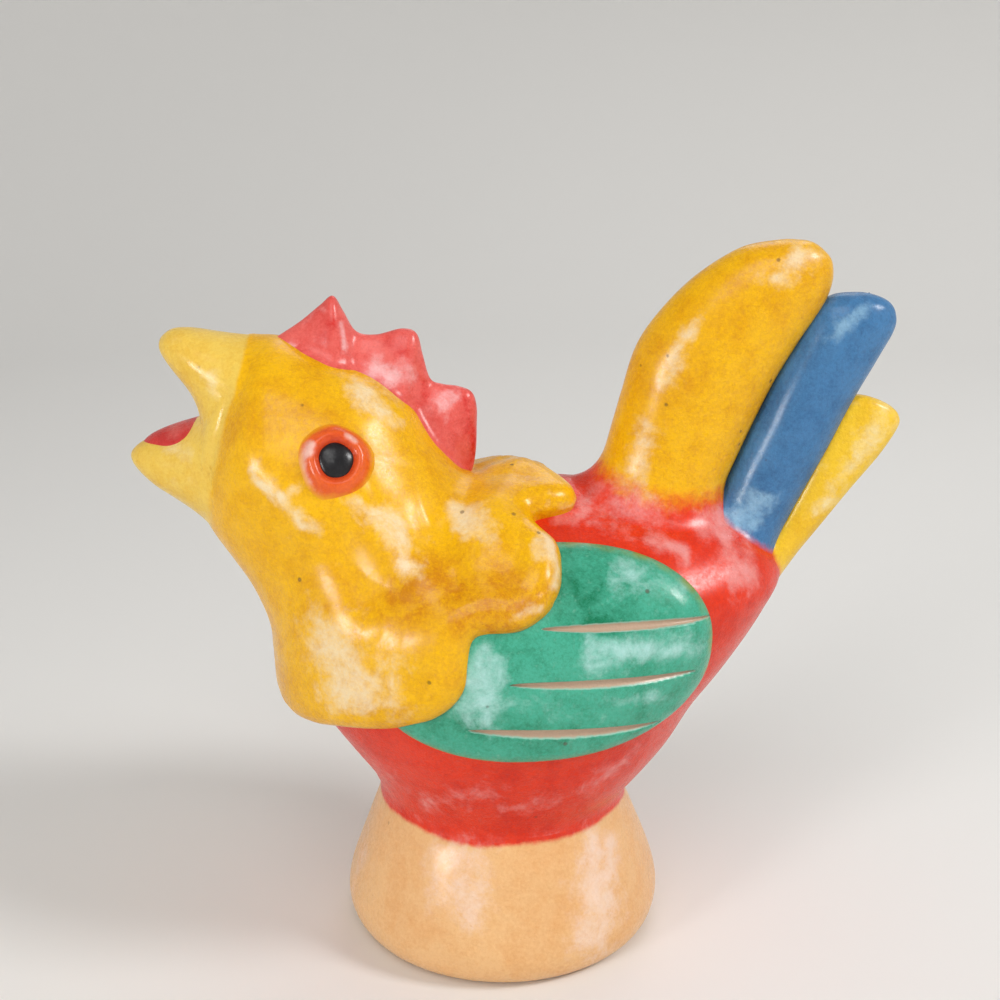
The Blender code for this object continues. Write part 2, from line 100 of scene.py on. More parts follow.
# Waves left in clay by the hand: radians per metre along x, y and z, start and weight.
CLAY_WAVES = (
    ((105, 60, 20), 0.4, 1 / 2), ((-40, 120, 90), 2.1, 1 / 3), ((70, -90, 130), 4.4, 1 / 4),
    ((160, 150, -60), 1.3, 1 / 5), ((-190, 80, 170), 5.2, 1 / 6), ((240, -120, 200), 3.0, 1 / 7),
)


def hand_formed(points, amount):
    """The slight unevenness of clay pressed by hand: a sum of slow sine waves, from 19 to 51 mm long,
    moves each point along its normal, mostly by less than the given amount."""
    push = sum(weight * np.sin(points @ turns + start) for turns, start, weight in CLAY_WAVES) * amount
    return points + outward(points) * push[..., None]


# Points this close are welded, and edges this short are dropped, in metres.
WELD_REACH, SLIVER = 1e-6, 1e-7


def skin(name, points, start=None, end=None, **masks):
    """A closed mesh over a grid whose columns close in a ring. Each end is closed by a fan to the given
    point, or to the middle of its ring. Where the end is False, the two sides of its last row meet in a
    ridge and are welded there. Masks are stored as one value for each grid point."""
    rows, columns = points.shape[:2]
    ends = [ring.mean(axis=0) if point is None or point is False else np.asarray(point)
            for ring, point in ((points[0], start), (points[-1], end))]
    corners = np.vstack([points.reshape(-1, 3), ends])
    index = np.arange(rows * columns).reshape(rows, columns)
    step = np.roll(index, -1, axis=1)
    quads = np.stack([index[:-1], step[:-1], step[1:], index[1:]], axis=2).reshape(-1, 4)
    first = np.stack([step[0], index[0], np.full(columns, rows * columns)], axis=1)
    last = np.stack([index[-1], step[-1], np.full(columns, rows * columns + 1)], axis=1)
    a, b, c = (corners[quads[:, k]] for k in range(3))
    if np.einsum("ij,ij->i", a - corners.mean(axis=0), np.cross(b - a, c - a)).sum() < 0:
        quads, first, last = quads[:, ::-1], first[:, ::-1], last[:, ::-1]
    mesh = bpy.data.meshes.new(name)
    last = last[:0] if end is False else last
    mesh.from_pydata(corners.tolist(), [], quads.tolist() + first.tolist() + last.tolist())
    for mask, values in masks.items():
        layer = mesh.attributes.new(mask, "FLOAT", "POINT")
        tips = np.mean(values[0]), np.mean(values[-1])
        flat = np.append(np.asarray(values, np.float32).reshape(-1), tips)
        layer.data.foreach_set("value", flat.astype(np.float32))
    welded = bmesh.new()
    welded.from_mesh(mesh)
    welded.verts.ensure_lookup_table()
    seam = [welded.verts[k] for k in index[-1]] if end is False else welded.verts
    bmesh.ops.remove_doubles(welded, verts=seam, dist=WELD_REACH)
    bmesh.ops.dissolve_degenerate(welded, edges=welded.edges, dist=SLIVER)
    loose = [vert for vert in welded.verts if not vert.link_faces]
    bmesh.ops.delete(welded, geom=loose, context="VERTS")
    welded.to_mesh(mesh)
    welded.free()
    mesh.shade_smooth()
    piece = bpy.data.objects.new(name, mesh)
    bpy.context.scene.collection.objects.link(piece)
    return piece


def dress(piece, material, slot, *nodes):
    """Gives a piece its finish, and puts it in the place of its solids on the bird."""
    piece.data.materials.append(material)
    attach(piece, "root")
    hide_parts(*nodes)


# Waves that bend the edges of worn places and painted highlights: radians per mm along x, y and z,
# which push x, y and z, and how far they reach, in mm.
EDGE_WAVES = (
    (((0.50, -0.22, 0.31), (0.27, 0.48, -0.36), (-0.33, 0.29, 0.52)), 1.2),
    (((1.10, 0.60, -0.72), (-0.84, 1.02, 0.55), (0.66, -0.91, 0.98)), 0.4),
)
# How fast a stroke falls off, and how strong its copy on the other side is.
STROKE_FALL = 1.4
FAINTER = 0.8


def patches(points, strokes, waves=EDGE_WAVES):
    """A mask of soft strokes, each of which falls off as a bell curve from its middle line, after waves
    have bent the place. A stroke is its two ends (x, y, height), its radius and its strength, in mm from
    the foot's axis."""
    mask = np.zeros(points.shape[:2])
    place = (points - (FOOT_X, 0.0, 0.0)) / MM
    place = place + sum(reach * np.sin(place @ np.array(turns)) for turns, reach in waves)
    for start, end, radius, strength in strokes:
        run = np.subtract(end, start)
        share = np.clip((place - start) @ run / max(run @ run, 1e-9), 0, 1)
        away = np.linalg.norm(place - start - share[..., None] * run, axis=2) / radius
        mask = np.maximum(mask, strength * np.exp(-STROKE_FALL * away**2))
    return mask


def both_sides(strokes):
    """Strokes of the left side with fainter copies on the right."""
    flip = 1, -1, 1
    turned = [(np.multiply(start, flip), np.multiply(end, flip), radius, FAINTER * strength)
              for start, end, radius, strength in strokes]
    return [*strokes, *turned]


def tint(red, green, blue):
    """A screen colour of 0 to 255 as the linear colour that a shader takes."""
    share = np.array([red, green, blue]) / 255
    linear = np.where(share <= 0.04045, share / 12.92, ((share + 0.055) / 1.055) ** 2.4)
    return (*linear.tolist(), 1.0)


def new_group(name, inputs, outputs):
    """An empty shader node group with its named sockets, and the nodes that carry them."""
    tree = bpy.data.node_groups.new(name, "ShaderNodeTree")
    for label, kind, value in inputs:
        socket = tree.interface.new_socket(label, in_out="INPUT", socket_type=kind)
        socket.default_value = value
    for label, kind in outputs:
        tree.interface.new_socket(label, in_out="OUTPUT", socket_type=kind)
    return tree, tree.nodes.new("NodeGroupInput").outputs, tree.nodes.new("NodeGroupOutput").inputs


def node(tree, kind, settings=None, **sockets):
    """A shader node. Settings are its own options, and each socket gets a number, a colour or a link.
    A socket without a name of its own is i0, i1 and so on."""
    made = tree.nodes.new(kind)
    for option, value in (settings or {}).items():
        setattr(made, option, value)
    for label, value in sockets.items():
        key = int(label[1:]) if label[0] == "i" and label[1:].isdigit() else label.replace("_", " ")
        if isinstance(value, bpy.types.NodeSocket):
            tree.links.new(value, made.inputs[key])
        else:
            made.inputs[key].default_value = value
    return made


def noise(tree, place, size, detail=3.0, rough=0.55, warp=0.0):
    """Cloudy noise whose features are about the given number of millimetres across."""
    return node(tree, "ShaderNodeTexNoise", Vector=place, Scale=1000 / size, Detail=detail,
                Roughness=rough, Distortion=warp).outputs["Fac"]


def band(tree, value, low, high, to_low=0.0, to_high=1.0):
    """A smooth step of a value between two limits."""
    return node(tree, "ShaderNodeMapRange", {"interpolation_type": "SMOOTHSTEP"}, Value=value,
                From_Min=low, From_Max=high, To_Min=to_low, To_Max=to_high).outputs["Result"]


def sums(tree, operation, first, second, clamp=False):
    """Two values put together by an operation, held between 0 and 1 where clamp is set."""
    options = {"operation": operation, "use_clamp": clamp}
    return node(tree, "ShaderNodeMath", options, i0=first, i1=second).outputs[0]


def weighed(tree, *parts):
    """Values added up, each times its own weight."""
    total = None
    for value, weight in parts:
        part = value if weight == 1 else sums(tree, "MULTIPLY", value, weight)
        total = part if total is None else sums(tree, "ADD", total, part)
    return total


def stored(tree, mask):
    """A mask that is stored on the piece."""
    return node(tree, "ShaderNodeAttribute", {"attribute_name": mask}).outputs["Fac"]


def place_on(tree):
    """The place on the piece, by which every pattern is laid out."""
    return node(tree, "ShaderNodeTexCoord").outputs["Object"]


def blend(tree, share, under, over):
    """Two colours mixed by a share."""
    mix = node(tree, "ShaderNodeMix", {"data_type": "RGBA"})
    for socket, value in (("Factor_Float", share), ("A_Color", under), ("B_Color", over)):
        target = next(s for s in mix.inputs if s.identifier == socket)
        if isinstance(value, bpy.types.NodeSocket):
            tree.links.new(value, target)
        else:
            target.default_value = value
    return next(s for s in mix.outputs if s.identifier == "Result_Color")


# Cells per metre, of which only the share past these limits holds a pinhole, and the pinhole's edge.
PINHOLE_CELLS = 170.0
PINHOLE_SHARE = 0.80, 0.84
PINHOLE_EDGE = 0.05, 0.11


def make_clay_grain():
    """The surface of fired clay: a burnished grain, shallow tool lumps and scattered pinholes.
    Gives the mask of the pinholes and the height of it all."""
    results = ("Pinholes", "NodeSocketFloat"), ("Height", "NodeSocketFloat")
    tree, _, out = new_group("clay_grain", (), results)
    place = place_on(tree)
    cells = node(tree, "ShaderNodeTexVoronoi", Vector=place, Scale=PINHOLE_CELLS)
    hole = band(tree, cells.outputs["Distance"], *PINHOLE_EDGE, 1.0, 0.0)
    kept = node(tree, "ShaderNodeSeparateColor", Color=cells.outputs["Color"]).outputs["Red"]
    pinholes = sums(tree, "MULTIPLY", hole, band(tree, kept, *PINHOLE_SHARE))
    lumps = weighed(tree, (noise(tree, place, 9.0, 2.0), 1), (noise(tree, place, 3.4, 3.0), 0.45))
    grain = weighed(tree, (noise(tree, place, 1.5, 5.0, 0.7), 0.7), (noise(tree, place, 0.6, 3.0, 0.6), 0.24))
    height = weighed(tree, (sums(tree, "ADD", lumps, grain), 1), (pinholes, -0.6))
    tree.links.new(pinholes, out["Pinholes"])
    tree.links.new(height, out["Height"])
    return tree


CLAY_GRAIN = make_clay_grain()
PINHOLE_BROWN = tint(92, 62, 40)


def make_paint_wear_and_highlights():
    """Thin paint that soaked unevenly into clay and was waxed and worn back. A broad cloud shifts it
    to the deep tone, finer mottling darkens it, and worn places, painted highlights and flecks let the pale
    ground through. The film of wax is thinner on the mottling and broken by the grain."""
    colours = [(label, "NodeSocketColor", (0.5, 0.5, 0.5, 1.0)) for label in ("Paint", "Deep", "Ground")]
    values = [(label, "NodeSocketFloat", 0.0) for label in ("Rubbed", "Stained", "Pinholes", "Film")]
    results = ("Colour", "NodeSocketColor"), ("Roughness", "NodeSocketFloat"), ("Wax", "NodeSocketFloat")
    tree, put, out = new_group("paint_wear_and_highlights", colours + values, results)
    place = place_on(tree)
    cloud = band(tree, noise(tree, place, 26.0, 3.0, 0.6, 0.4), 0.38, 0.64)
    mottle = band(tree, noise(tree, place, 6.0, 6.0, 0.72, 0.4), 0.40, 0.66)
    speck = sums(tree, "SUBTRACT", noise(tree, place, 0.9, 5.0, 0.78), 0.5)
    stain = sums(tree, "MULTIPLY", put["Stained"], weighed(tree, (mottle, 0.6), (0.5, 1)))
    soaked = sums(tree, "MAXIMUM", weighed(tree, (cloud, 0.26), (mottle, 0.30)), stain)
    depth = sums(tree, "ADD", soaked, sums(tree, "MULTIPLY", speck, 1.6), clamp=True)
    painted = blend(tree, depth, put["Paint"], put["Deep"])
    streaks = weighed(tree, (noise(tree, place, 8.0, 4.0, 0.62, 1.2), 1.3),
                      (noise(tree, place, 2.0, 6.0, 0.78), 1.1))
    # Where the paint is worn, and where a highlight is painted on, the pale ground shows through.
    pale_wear_and_highlight = band(tree, weighed(tree, (put["Rubbed"], 1.15), (streaks, 1)), 1.48, 2.60, 0.0, 0.8)
    shown = blend(tree, pale_wear_and_highlight, painted, put["Ground"])
    dark = blend(tree, sums(tree, "MULTIPLY", put["Pinholes"], 0.6), shown, PINHOLE_BROWN)
    tree.links.new(dark, out["Colour"])
    rough = weighed(tree, (mottle, 0.10), (speck, 0.20), (pale_wear_and_highlight, -0.08), (0.30, 1))
    tree.links.new(rough, out["Roughness"])
    film = sums(tree, "ADD", weighed(tree, (speck, 2.0), (mottle, -0.2)), put["Film"], clamp=True)
    tree.links.new(film, out["Wax"])
    return tree


PAINT_WEAR_AND_HIGHLIGHTS = make_paint_wear_and_highlights()


def worn_and_highlighted_coat(tree, coat, pinholes, wax):
    """A coat of paint, deep tone and ground under wax, worn, and lit by painted highlights, where the piece's
    masks say.
    """
    paint, deep, ground = coat
    return node(tree, "ShaderNodeGroup", {"node_tree": PAINT_WEAR_AND_HIGHLIGHTS}, Paint=paint, Deep=deep, Ground=ground,
                Pinholes=pinholes, Film=wax, Rubbed=stored(tree, "rubbed"),
                Stained=stored(tree, "stained")).outputs


# How much of the grain shows and how deep it is, the dull paint's gloss, and the film of wax over it.
GRAIN_STRENGTH, GRAIN_DEPTH = 0.7, 1.1 * MM
PAINT_GLOSS = 0.06
WAX_FILM, WAX_ROUGHNESS = 0.66, 0.23


def waxed_clay(name, coat, wax=WAX_FILM, over=None, colour=None):
    """A finish of painted or bare clay under wax. A second coat may lie over the first where a mask says,
    with a ragged edge, and a colour function may change what shows."""
    material = bpy.data.materials.new(name)
    material.use_nodes = True
    tree = material.node_tree
    shader = tree.nodes["Principled BSDF"]
    grain = node(tree, "ShaderNodeGroup", {"node_tree": CLAY_GRAIN}).outputs
    wear = worn_and_highlighted_coat(tree, coat, grain["Pinholes"], wax)
    shown = wear["Colour"]
    if over:
        mask, second = over
        ragged = weighed(tree, (stored(tree, mask), 1), (noise(tree, place_on(tree), 3.0, 5.0, 0.65), 0.5))
        upper = worn_and_highlighted_coat(tree, second, grain["Pinholes"], wax)["Colour"]
        shown = blend(tree, band(tree, ragged, 0.5, 1.0), shown, upper)
    tree.links.new(colour(tree, shown) if colour else shown, shader.inputs["Base Color"])
    tree.links.new(wear["Roughness"], shader.inputs["Roughness"])
    bump = node(tree, "ShaderNodeBump", Height=grain["Height"], Strength=GRAIN_STRENGTH, Distance=GRAIN_DEPTH)
    tree.links.new(bump.outputs["Normal"], shader.inputs["Normal"])
    tree.links.new(wear["Wax"], shader.inputs["Coat Weight"])
    shader.inputs["Specular IOR Level"].default_value = PAINT_GLOSS
    shader.inputs["Coat Roughness"].default_value = WAX_ROUGHNESS
    return material


def ring_turn(count):
    """Equal steps of one full turn, in radians."""
    return np.arange(count) * 2 * math.pi / count


def foot_surface():
    """A profile of radius and height turned about the foot's axis: outside from the waist to the rim,
    then up inside at the wall's thickness."""
    outer = along(FOOT_PROFILE, np.linspace(0, len(FOOT_PROFILE) - 1, OUTER_ROWS)) * MM
    rise = np.linspace(HOLLOW_START, HOLLOW_END, HOLLOW_ROWS)
    shell = outer[:RIM_ROW][::-1]
    inner = np.stack([np.interp(rise, shell[:, 1], shell[:, 0]) - FOOT_WALL, rise], axis=1)
    profile = np.vstack([outer, inner])
    turn = ring_turn(FOOT_COLUMNS)
    circle = np.stack([np.cos(turn), np.sin(turn)], axis=1)
    level = profile[:, None, :1] * circle[None]
    points = np.dstack([level, np.repeat(profile[:, 1:], len(turn), axis=1)])
    points[..., 0] += FOOT_X
    return points


foot_points = foot_surface()
standing = np.clip(foot_points[..., 2:] / STANDING_HEIGHT, 0, 1)
foot_points = foot_points + (hand_formed(foot_points, HAND_WOBBLE) - foot_points) * standing
# The brush that painted the body red left a wavy edge on the waist.
foot_turn = np.arctan2(foot_points[..., 1], foot_points[..., 0] - FOOT_X)
brush_sway = 1.6 + 0.5 * np.sin(3 * foot_turn + 0.7) + 0.4 * np.sin(7 * foot_turn + 2.0)
brush_edge = WAIST_HEIGHT - brush_sway * MM
red_edge = np.clip((foot_points[..., 2] - brush_edge) / BRUSH_SOFTNESS + 0.5, 0, 1)
# Pale patches on the foot: painted highlights of the waxed clay, with some wear.
FOOT_HIGHLIGHTS_AND_WEAR = both_sides((
    ((-9, -30, 33), (-8, -35, 20), 8, 0.75), ((23, -24, 30), (23, -31, 12), 11, 0.9),
    ((-17, -27, 32), (-15, -33, 20), 6, 0.6), ((-36, -8, 22), (-37, -10, 8), 6, 0.5),
))
foot = skin("foot_bell", foot_points, rubbed=patches(foot_points, FOOT_HIGHLIGHTS_AND_WEAR), red_edge=red_edge)
THICK_WAX = 0.7
# Each coat is paint, deep tone and the pale ground that shows where the paint is worn and where a highlight
# is painted.
CLAY_COAT = tint(241, 192, 134), tint(228, 162, 98), tint(250, 224, 208)
RED_COAT = tint(234, 56, 22), tint(200, 32, 20), tint(242, 168, 164)
bare_clay = waxed_clay("waxed_bare_clay", CLAY_COAT, THICK_WAX, ("red_edge", RED_COAT))
dress(foot, bare_clay, "bare_clay", "foot")


# BODY
# A hollow egg of clay that grows out of the foot and is pinched to a ridge along the back. It is
# painted red down to the waist, where the brush edge wanders over the bare foot.

BODY_HEIGHT = 79.5 * MM
BACK_TOP = WAIST_HEIGHT + BODY_HEIGHT
# The body's lower end closes in a cone that rises inside it to this point.
BODY_FLOOR = FOOT_X, 0.0, BACK_TOP - 55 * MM
BODY_COLUMNS = 320
# At the waist the red is thin: how pale it gets, and over what height.
WAIST_RUB, WAIST_FADE = 0.3, 3.5 * MM

# Height over the waist, reach of the breast, reach of the rump and half width, in mm.
BODY_LEVELS = (
    (-2.6, 30.4, 30.4, 30.4), (-1.2, 30.9, 30.9, 30.9), (0.0, 31.0, 31.0, 31.0), (1.6, 31.2, 31.3, 31.2),
    (4.0, 32.1, 32.5, 32.0), (8.0, 34.0, 36.0, 33.6), (15.9, 39.4, 42.4, 36.8),
    (25.4, 46.0, 47.8, 40.0), (33.4, 49.4, 53.6, 41.8), (41.3, 50.4, 58.5, 42.5), (49.3, 47.4, 63.2, 42.2),
    (56.4, 41.8, 66.5, 40.2), (62.8, 36.7, 64.8, 35.3), (68.8, 28.6, 58.9, 28.1), (73.5, 18.4, 50.5, 19.6),
    (76.9, 8.2, 39.9, 11.5), (78.9, 1.5, 27.9, 4.7), (79.5, 0.0, 15.0, 0.0),
)


def body_levels(grow=0.0, count=240):
    """Height, breast, rump and half width of many level sections, grown outwards. The half width runs
    on through zero at the ridge, which rounds the back."""
    last = np.array(BODY_LEVELS[-2]) * (1, 1, 1, -1)
    rows = along(BODY_LEVELS, np.linspace(0, len(BODY_LEVELS) - 1, count), last) * MM + grow
    rows[:, 0] += WAIST_HEIGHT - grow * np.linspace(1, 0, count)
    return rows


def level_ring(rows, turn):
    """Egg-shaped level sections: half an oval of the rump's reach and half of the breast's."""
    reach = np.where(np.cos(turn) > 0, rows[:, 2:3], rows[:, 1:2])
    height = np.repeat(rows[:, :1], len(turn), axis=1)
    return np.stack([FOOT_X + reach * np.cos(turn), rows[:, 3:] * np.sin(turn), height], axis=2)


def bell(offset, width):
    """A bell curve: one in the middle, and falling as the square of the offset over the width."""
    return np.exp(-(offset / width) ** 2)


body_points = hand_formed(level_ring(body_levels(), ring_turn(BODY_COLUMNS)), HAND_WOBBLE)
# The two sides meet in one line along the ridge.
body_points[-1, :, 1] = 0.0
body_points[-1] = (body_points[-1] + body_points[-1, -np.arange(BODY_COLUMNS)]) / 2
# Pale places on the red: the strongest, on the rump, is a painted highlight; the others are partly worn paint
# and partly painted highlight. The tail's roots take them too.
BODY_RUBS_AND_HIGHLIGHTS = both_sides((
    ((50, -11, 108), (54, -20, 98), 7.5, 1.0), ((22, -9, 115), (33, -15, 112), 9, 0.65),
    ((14, -17, 111), (20, -12, 113), 4, 0.8), ((34, -20, 107), (40, -22, 104), 4.5, 0.95),
    ((20, -17, 111), (30, -20, 108), 5, 0.5),
    ((-33, -20, 58), (-26, -26, 46), 7, 0.5), ((-5, -36, 52), (-17, -29, 46), 6, 0.65),
    ((1, -34, 46), (13, -34, 48), 4.5, 0.6), ((20, -33, 50), (30, -28, 58), 6, 0.65),
    ((44, -26, 104), (50, -22, 104), 5, 0.4),
))
body_rub_and_highlight = patches(body_points, BODY_RUBS_AND_HIGHLIGHTS)
waist_rub = WAIST_RUB * bell(body_points[..., 2] - WAIST_HEIGHT, WAIST_FADE)
body = skin("body_egg", body_points, BODY_FLOOR, False, rubbed=np.maximum(body_rub_and_highlight, waist_rub))
red_paint = waxed_clay("waxed_red", RED_COAT)
dress(body, red_paint, "red_paint", "body")


# CAPE AND HEAD
# The head, neck and hackle cape are one yellow form, pressed over the breast and shoulders. Its hem is
# cut in round lobes and smoothed down, so that the rim of each lobe rolls over onto the body.

# Sections from the face to below the hem: throat and crown (x, height over the back), half width,
# in mm from the foot's axis.
NECK_SECTIONS = (
    (-71.0, -9.0, -58.0, 34.3, 14.8), (-68.0, -13.5, -50.5, 33.4, 22.2), (-64.0, -19.5, -38.5, 28.8, 26.3),
    (-60.5, -25.7, -26.5, 22.6, 29.0), (-57.6, -33.0, -15.0, 9.6, 32.4), (-55.8, -41.0, -6.0, 2.0, 36.6),
    (-54.0, -48.5, 4.0, 2.6, 40.0), (-52.4, -56.0, 15.0, -1.4, 42.4), (-48.0, -64.0, 29.0, -12.0, 42.4),
    (-40.0, -72.0, 34.0, -24.0, 39.8),
)
CAPE_THICKNESS = 3.2 * MM
# Distance from the hem and height of the cape over the body, in mm: a puffy rim and a shallow hollow.
CAPE_SWELL = (
    (0.0, 0.2), (0.6, 1.5), (1.5, 2.7), (3.0, 3.8), (5.0, 4.5), (7.5, 4.6), (11.0, 4.0), (15.0, 3.3),
    (20.0, 3.0), (28.0, 3.2), (200.0, 3.2),
)

# The hem in side view, from the breast round to the shoulder (x, height over the back), in mm.
HEM_SIDE = (
    (-80.0, -50.0), (-58.0, -53.4), (-50.0, -54.0), (-43.0, -52.0), (-36.4, -49.6), (-30.0, -48.2),
    (-24.6, -47.4), (-19.5, -45.7), (-14.8, -43.9), (-10.3, -39.9), (-7.6, -35.0), (-7.2, -29.0),
    (-5.7, -23.2), (2.5, -22.5), (7.4, -20.4), (10.7, -17.4), (12.7, -14.1), (13.2, -10.3),
    (14.0, -6.0), (24.0, 0.0), (24.0, 20.0),
)
# The hem over the nape in plan (distance across from the middle, x), in mm. The left lobe is longer.
HEM_NAPE = (
    (-60.0, 40.0), (-34.0, 14.0), (-28.7, 12.0), (-24.5, 9.0), (-22.0, 6.6), (-20.4, 6.0),
    (-19.2, 10.4), (-17.4, 14.4), (-15.0, 16.8), (-12.0, 17.4), (-9.0, 16.6), (-5.0, 14.2),
    (0.0, 10.6), (5.0, 7.4), (10.0, 6.2), (14.0, 6.2), (17.4, 6.6), (20.0, 7.6), (22.4, 9.6),
    (24.6, 12.4), (27.0, 14.0), (34.0, 14.4), (60.0, 40.0),
)
HEM_CENTRE = (-30.0, -15.0)
# The nape's hem holds above this height over the back, in mm.
NAPE_LEVEL = -6.0
HEM_TUCK = 1.5 * MM
CAPE_ROWS, CAPE_COLUMNS = 150, 400
# The edge of the full yellow on the face (height, x from the foot's axis), in mm. Before it lies only
# a thin wash.
WASH_EDGE = (
    (100, -69.0), (116, -67.0), (126, -64.2), (134, -62.6), (140, -60.2), (146, -58.9), (150, -58.6),
)


def wash(points):
    """The mask of the thin wash: a step across its edge, which is sharp on the brow and soft at the
    throat."""
    height = points[..., 2] / MM
    soft = np.interp(height, (118, 134), (6.0, 2.2)) * MM
    edge = np.interp(height, *np.transpose(WASH_EDGE)) * MM + FOOT_X
    return np.clip((edge - points[..., 0]) / soft + 0.5, 0, 1)


def over_back(x, height):
    """Millimetres from the foot's axis and over the back as metres in the bird's frame."""
    return FOOT_X + x * MM, BACK_TOP + height * MM


def rail_sections(rows, turn):
    """Ovals that span two rails in the middle plane: cosine between the rails, sine across them. A row
    of the table is given for each section, or for each point of each section."""
    rows = rows if rows.ndim == 3 else rows[:, None]
    ax, az = over_back(rows[..., 0], rows[..., 1])
    bx, bz = over_back(rows[..., 2], rows[..., 3])
    x = (ax + bx) / 2 + (ax - bx) / 2 * np.cos(turn)
    z = (az + bz) / 2 + (az - bz) / 2 * np.cos(turn)
    return np.stack([x, rows[..., 4] * MM * np.sin(turn), z], axis=2)


def outside_body(points, rows):
    """How far out points lie in the body's level sections: one is on its surface."""
    levels = (np.interp(points[..., 2], rows[:, 0], rows[:, k]) for k in (1, 2, 3))
    breast, rump, half_width = (np.maximum(level, 0.1 * MM) for level in levels)
    x = points[..., 0] - FOOT_X
    share = np.hypot(x / np.where(x > 0, rump, breast), points[..., 1] / half_width)
    return np.where(points[..., 2] > rows[-1, 0], math.inf, share)


BODY_HEART = np.array([FOOT_X + 7 * MM, 0.0, BACK_TOP - 36 * MM])
# How sharply the cape leaves the body, and the sections between which it comes to lie on it.
DRAPE_SHARPNESS = 30
DRAPE_START, DRAPE_RUN = 3.6, 1.2


def reach_of_body(points, clear):
    """For each point, how far out its ray from the body's heart leaves the body, grown by a clearance,
    as a share of the point's own distance. It is found by halving."""
    rows = body_levels(clear)
    low, high = np.zeros(points.shape[:-1]), np.full(points.shape[:-1], 4.0)
    for _ in range(26):
        half = (low + high) / 2
        inside = outside_body(BODY_HEART + (points - BODY_HEART) * half[..., None], rows) < 1
        low, high = np.where(inside, half, low), np.where(inside, high, half)
    return high


def draped(points, clear):
    """Points pushed away from the body's heart until they clear its surface. A soft maximum rounds the
    line where the cape leaves the body."""
    reach = reach_of_body(points, clear)
    soft = np.logaddexp(0, (reach - 1) * DRAPE_SHARPNESS) / DRAPE_SHARPNESS + 1
    return BODY_HEART + (points - BODY_HEART) * np.where(reach > 0.6, soft, 1.0)[..., None]


def inside_hem(points):
    """How far points lie inside the hem: the hem's radius about a centre in side view less their own,
    and over the back the nape hem's reach in plan less theirs."""
    hem = along(HEM_SIDE, np.linspace(0, len(HEM_SIDE) - 1, 400))
    middle = np.array(HEM_CENTRE)
    bearing = np.unwrap(np.arctan2(hem[:, 1] - middle[1], hem[:, 0] - middle[0]))
    reach = np.hypot(*(hem - middle).T)
    x, z = (points[..., 0] - FOOT_X) / MM - middle[0], (points[..., 2] - BACK_TOP) / MM - middle[1]
    own = np.mod(np.arctan2(z, x) - bearing[0], 2 * math.pi) + bearing[0]
    order = np.argsort(bearing)
    side = np.interp(own, bearing[order], reach[order], right=200.0) - np.hypot(x, z)
    nape = np.interp(points[..., 1] / MM, *np.transpose(HEM_NAPE)) - (x + middle[0])
    return np.where(z + middle[1] > NAPE_LEVEL, np.minimum(side, nape), side)


def hem_places(turn):
    """For each bearing around the neck, the section at which the cape's surface crosses the hem."""
    tried = np.linspace(4.2, len(NECK_SECTIONS) - 1, 360)
    points = draped(rail_sections(along(NECK_SECTIONS, tried), turn), CAPE_THICKNESS)
    inside = inside_hem(points) > 0
    crossing = np.where(inside.all(axis=0), len(tried) - 1, inside.argmin(axis=0))
    places = tried[crossing]
    weights = np.array([1, 2, 3, 4, 3, 2, 1]) / 16
    return np.convolve(np.concatenate([places[-3:], places, places[:3]]), weights, mode="valid")


cape_turn = ring_turn(CAPE_COLUMNS)
section = np.linspace(0, 1, CAPE_ROWS)[:, None] * hem_places(cape_turn)
neck_rows = along(NECK_SECTIONS, section.reshape(-1)).reshape(*section.shape, 5)
cape_points = rail_sections(neck_rows, cape_turn)
below_neck = np.clip((section - DRAPE_START) / DRAPE_RUN, 0, 1)[..., None]
cape_points += (draped(cape_points, CAPE_THICKNESS) - cape_points) * below_neck


def from_line(points, line):
    """Distance of points from the nearest point of a line."""
    return np.stack([np.linalg.norm(row[:, None] - line[None], axis=2).min(axis=1) for row in points])


# High places of the neck and cape, where a fold stands up. Their pale patches are partly worn paint and
# partly painted highlight.
CAPE_RIDGES = both_sides((
    ((-33, -11, 141), (-25, -9, 137), 6.5, 0.5), ((-55, -26, 125), (-43, -30, 114), 3.8, 0.95),
    ((-34, -28, 119), (-28, -29, 116), 3.5, 0.7), ((-26, -29, 115), (-22, -32, 110), 5.5, 1.0),
    ((-22, -32, 110), (-20, -35, 104), 3.5, 0.95), ((-10, -22, 116), (-6, -29, 113), 5.0, 0.95),
    ((-6, -29, 113), (-3, -32, 110), 3.0, 0.7), ((9, -30, 111), (10, -37, 105), 3.2, 0.95),
    ((4, -44, 97), (8, -42, 99), 2.6, 0.7), ((11, -17, 116), (15, -16, 114), 3.0, 0.7),
    ((-35, -39, 86), (-33, -40, 78), 10.0, 0.75), ((-25, -44, 84), (-23, -44, 78), 8.0, 0.65),
))
# A fold is wider than its pale patch. How high folds stand and how deep hollows go.
RIDGE_SPREAD = 2.2
RIDGE_RISE, HOLLOW_DEPTH = 1.3 * MM, 2.6 * MM
# Low places: the right shoulder, the saddle of the nape, the breast and the folds beside the neck.
CAPE_HOLLOWS = (
    ((-12, 13, 115), (8, 13, 115), 13.0, 1.15), ((-10, 2, 118), (-1, 4, 119), 7.5, 0.95),
    ((-10, 24, 114), (-1, 23, 115), 9.0, 1.0), ((-54, 0, 68), (-57, 0, 92), 16.0, 0.4),
    *both_sides((
        ((-14, -29, 114), (-10, -38, 102), 5.0, 0.5), ((-36, -30, 112), (-30, -36, 100), 6.0, 0.35),
    )),
)
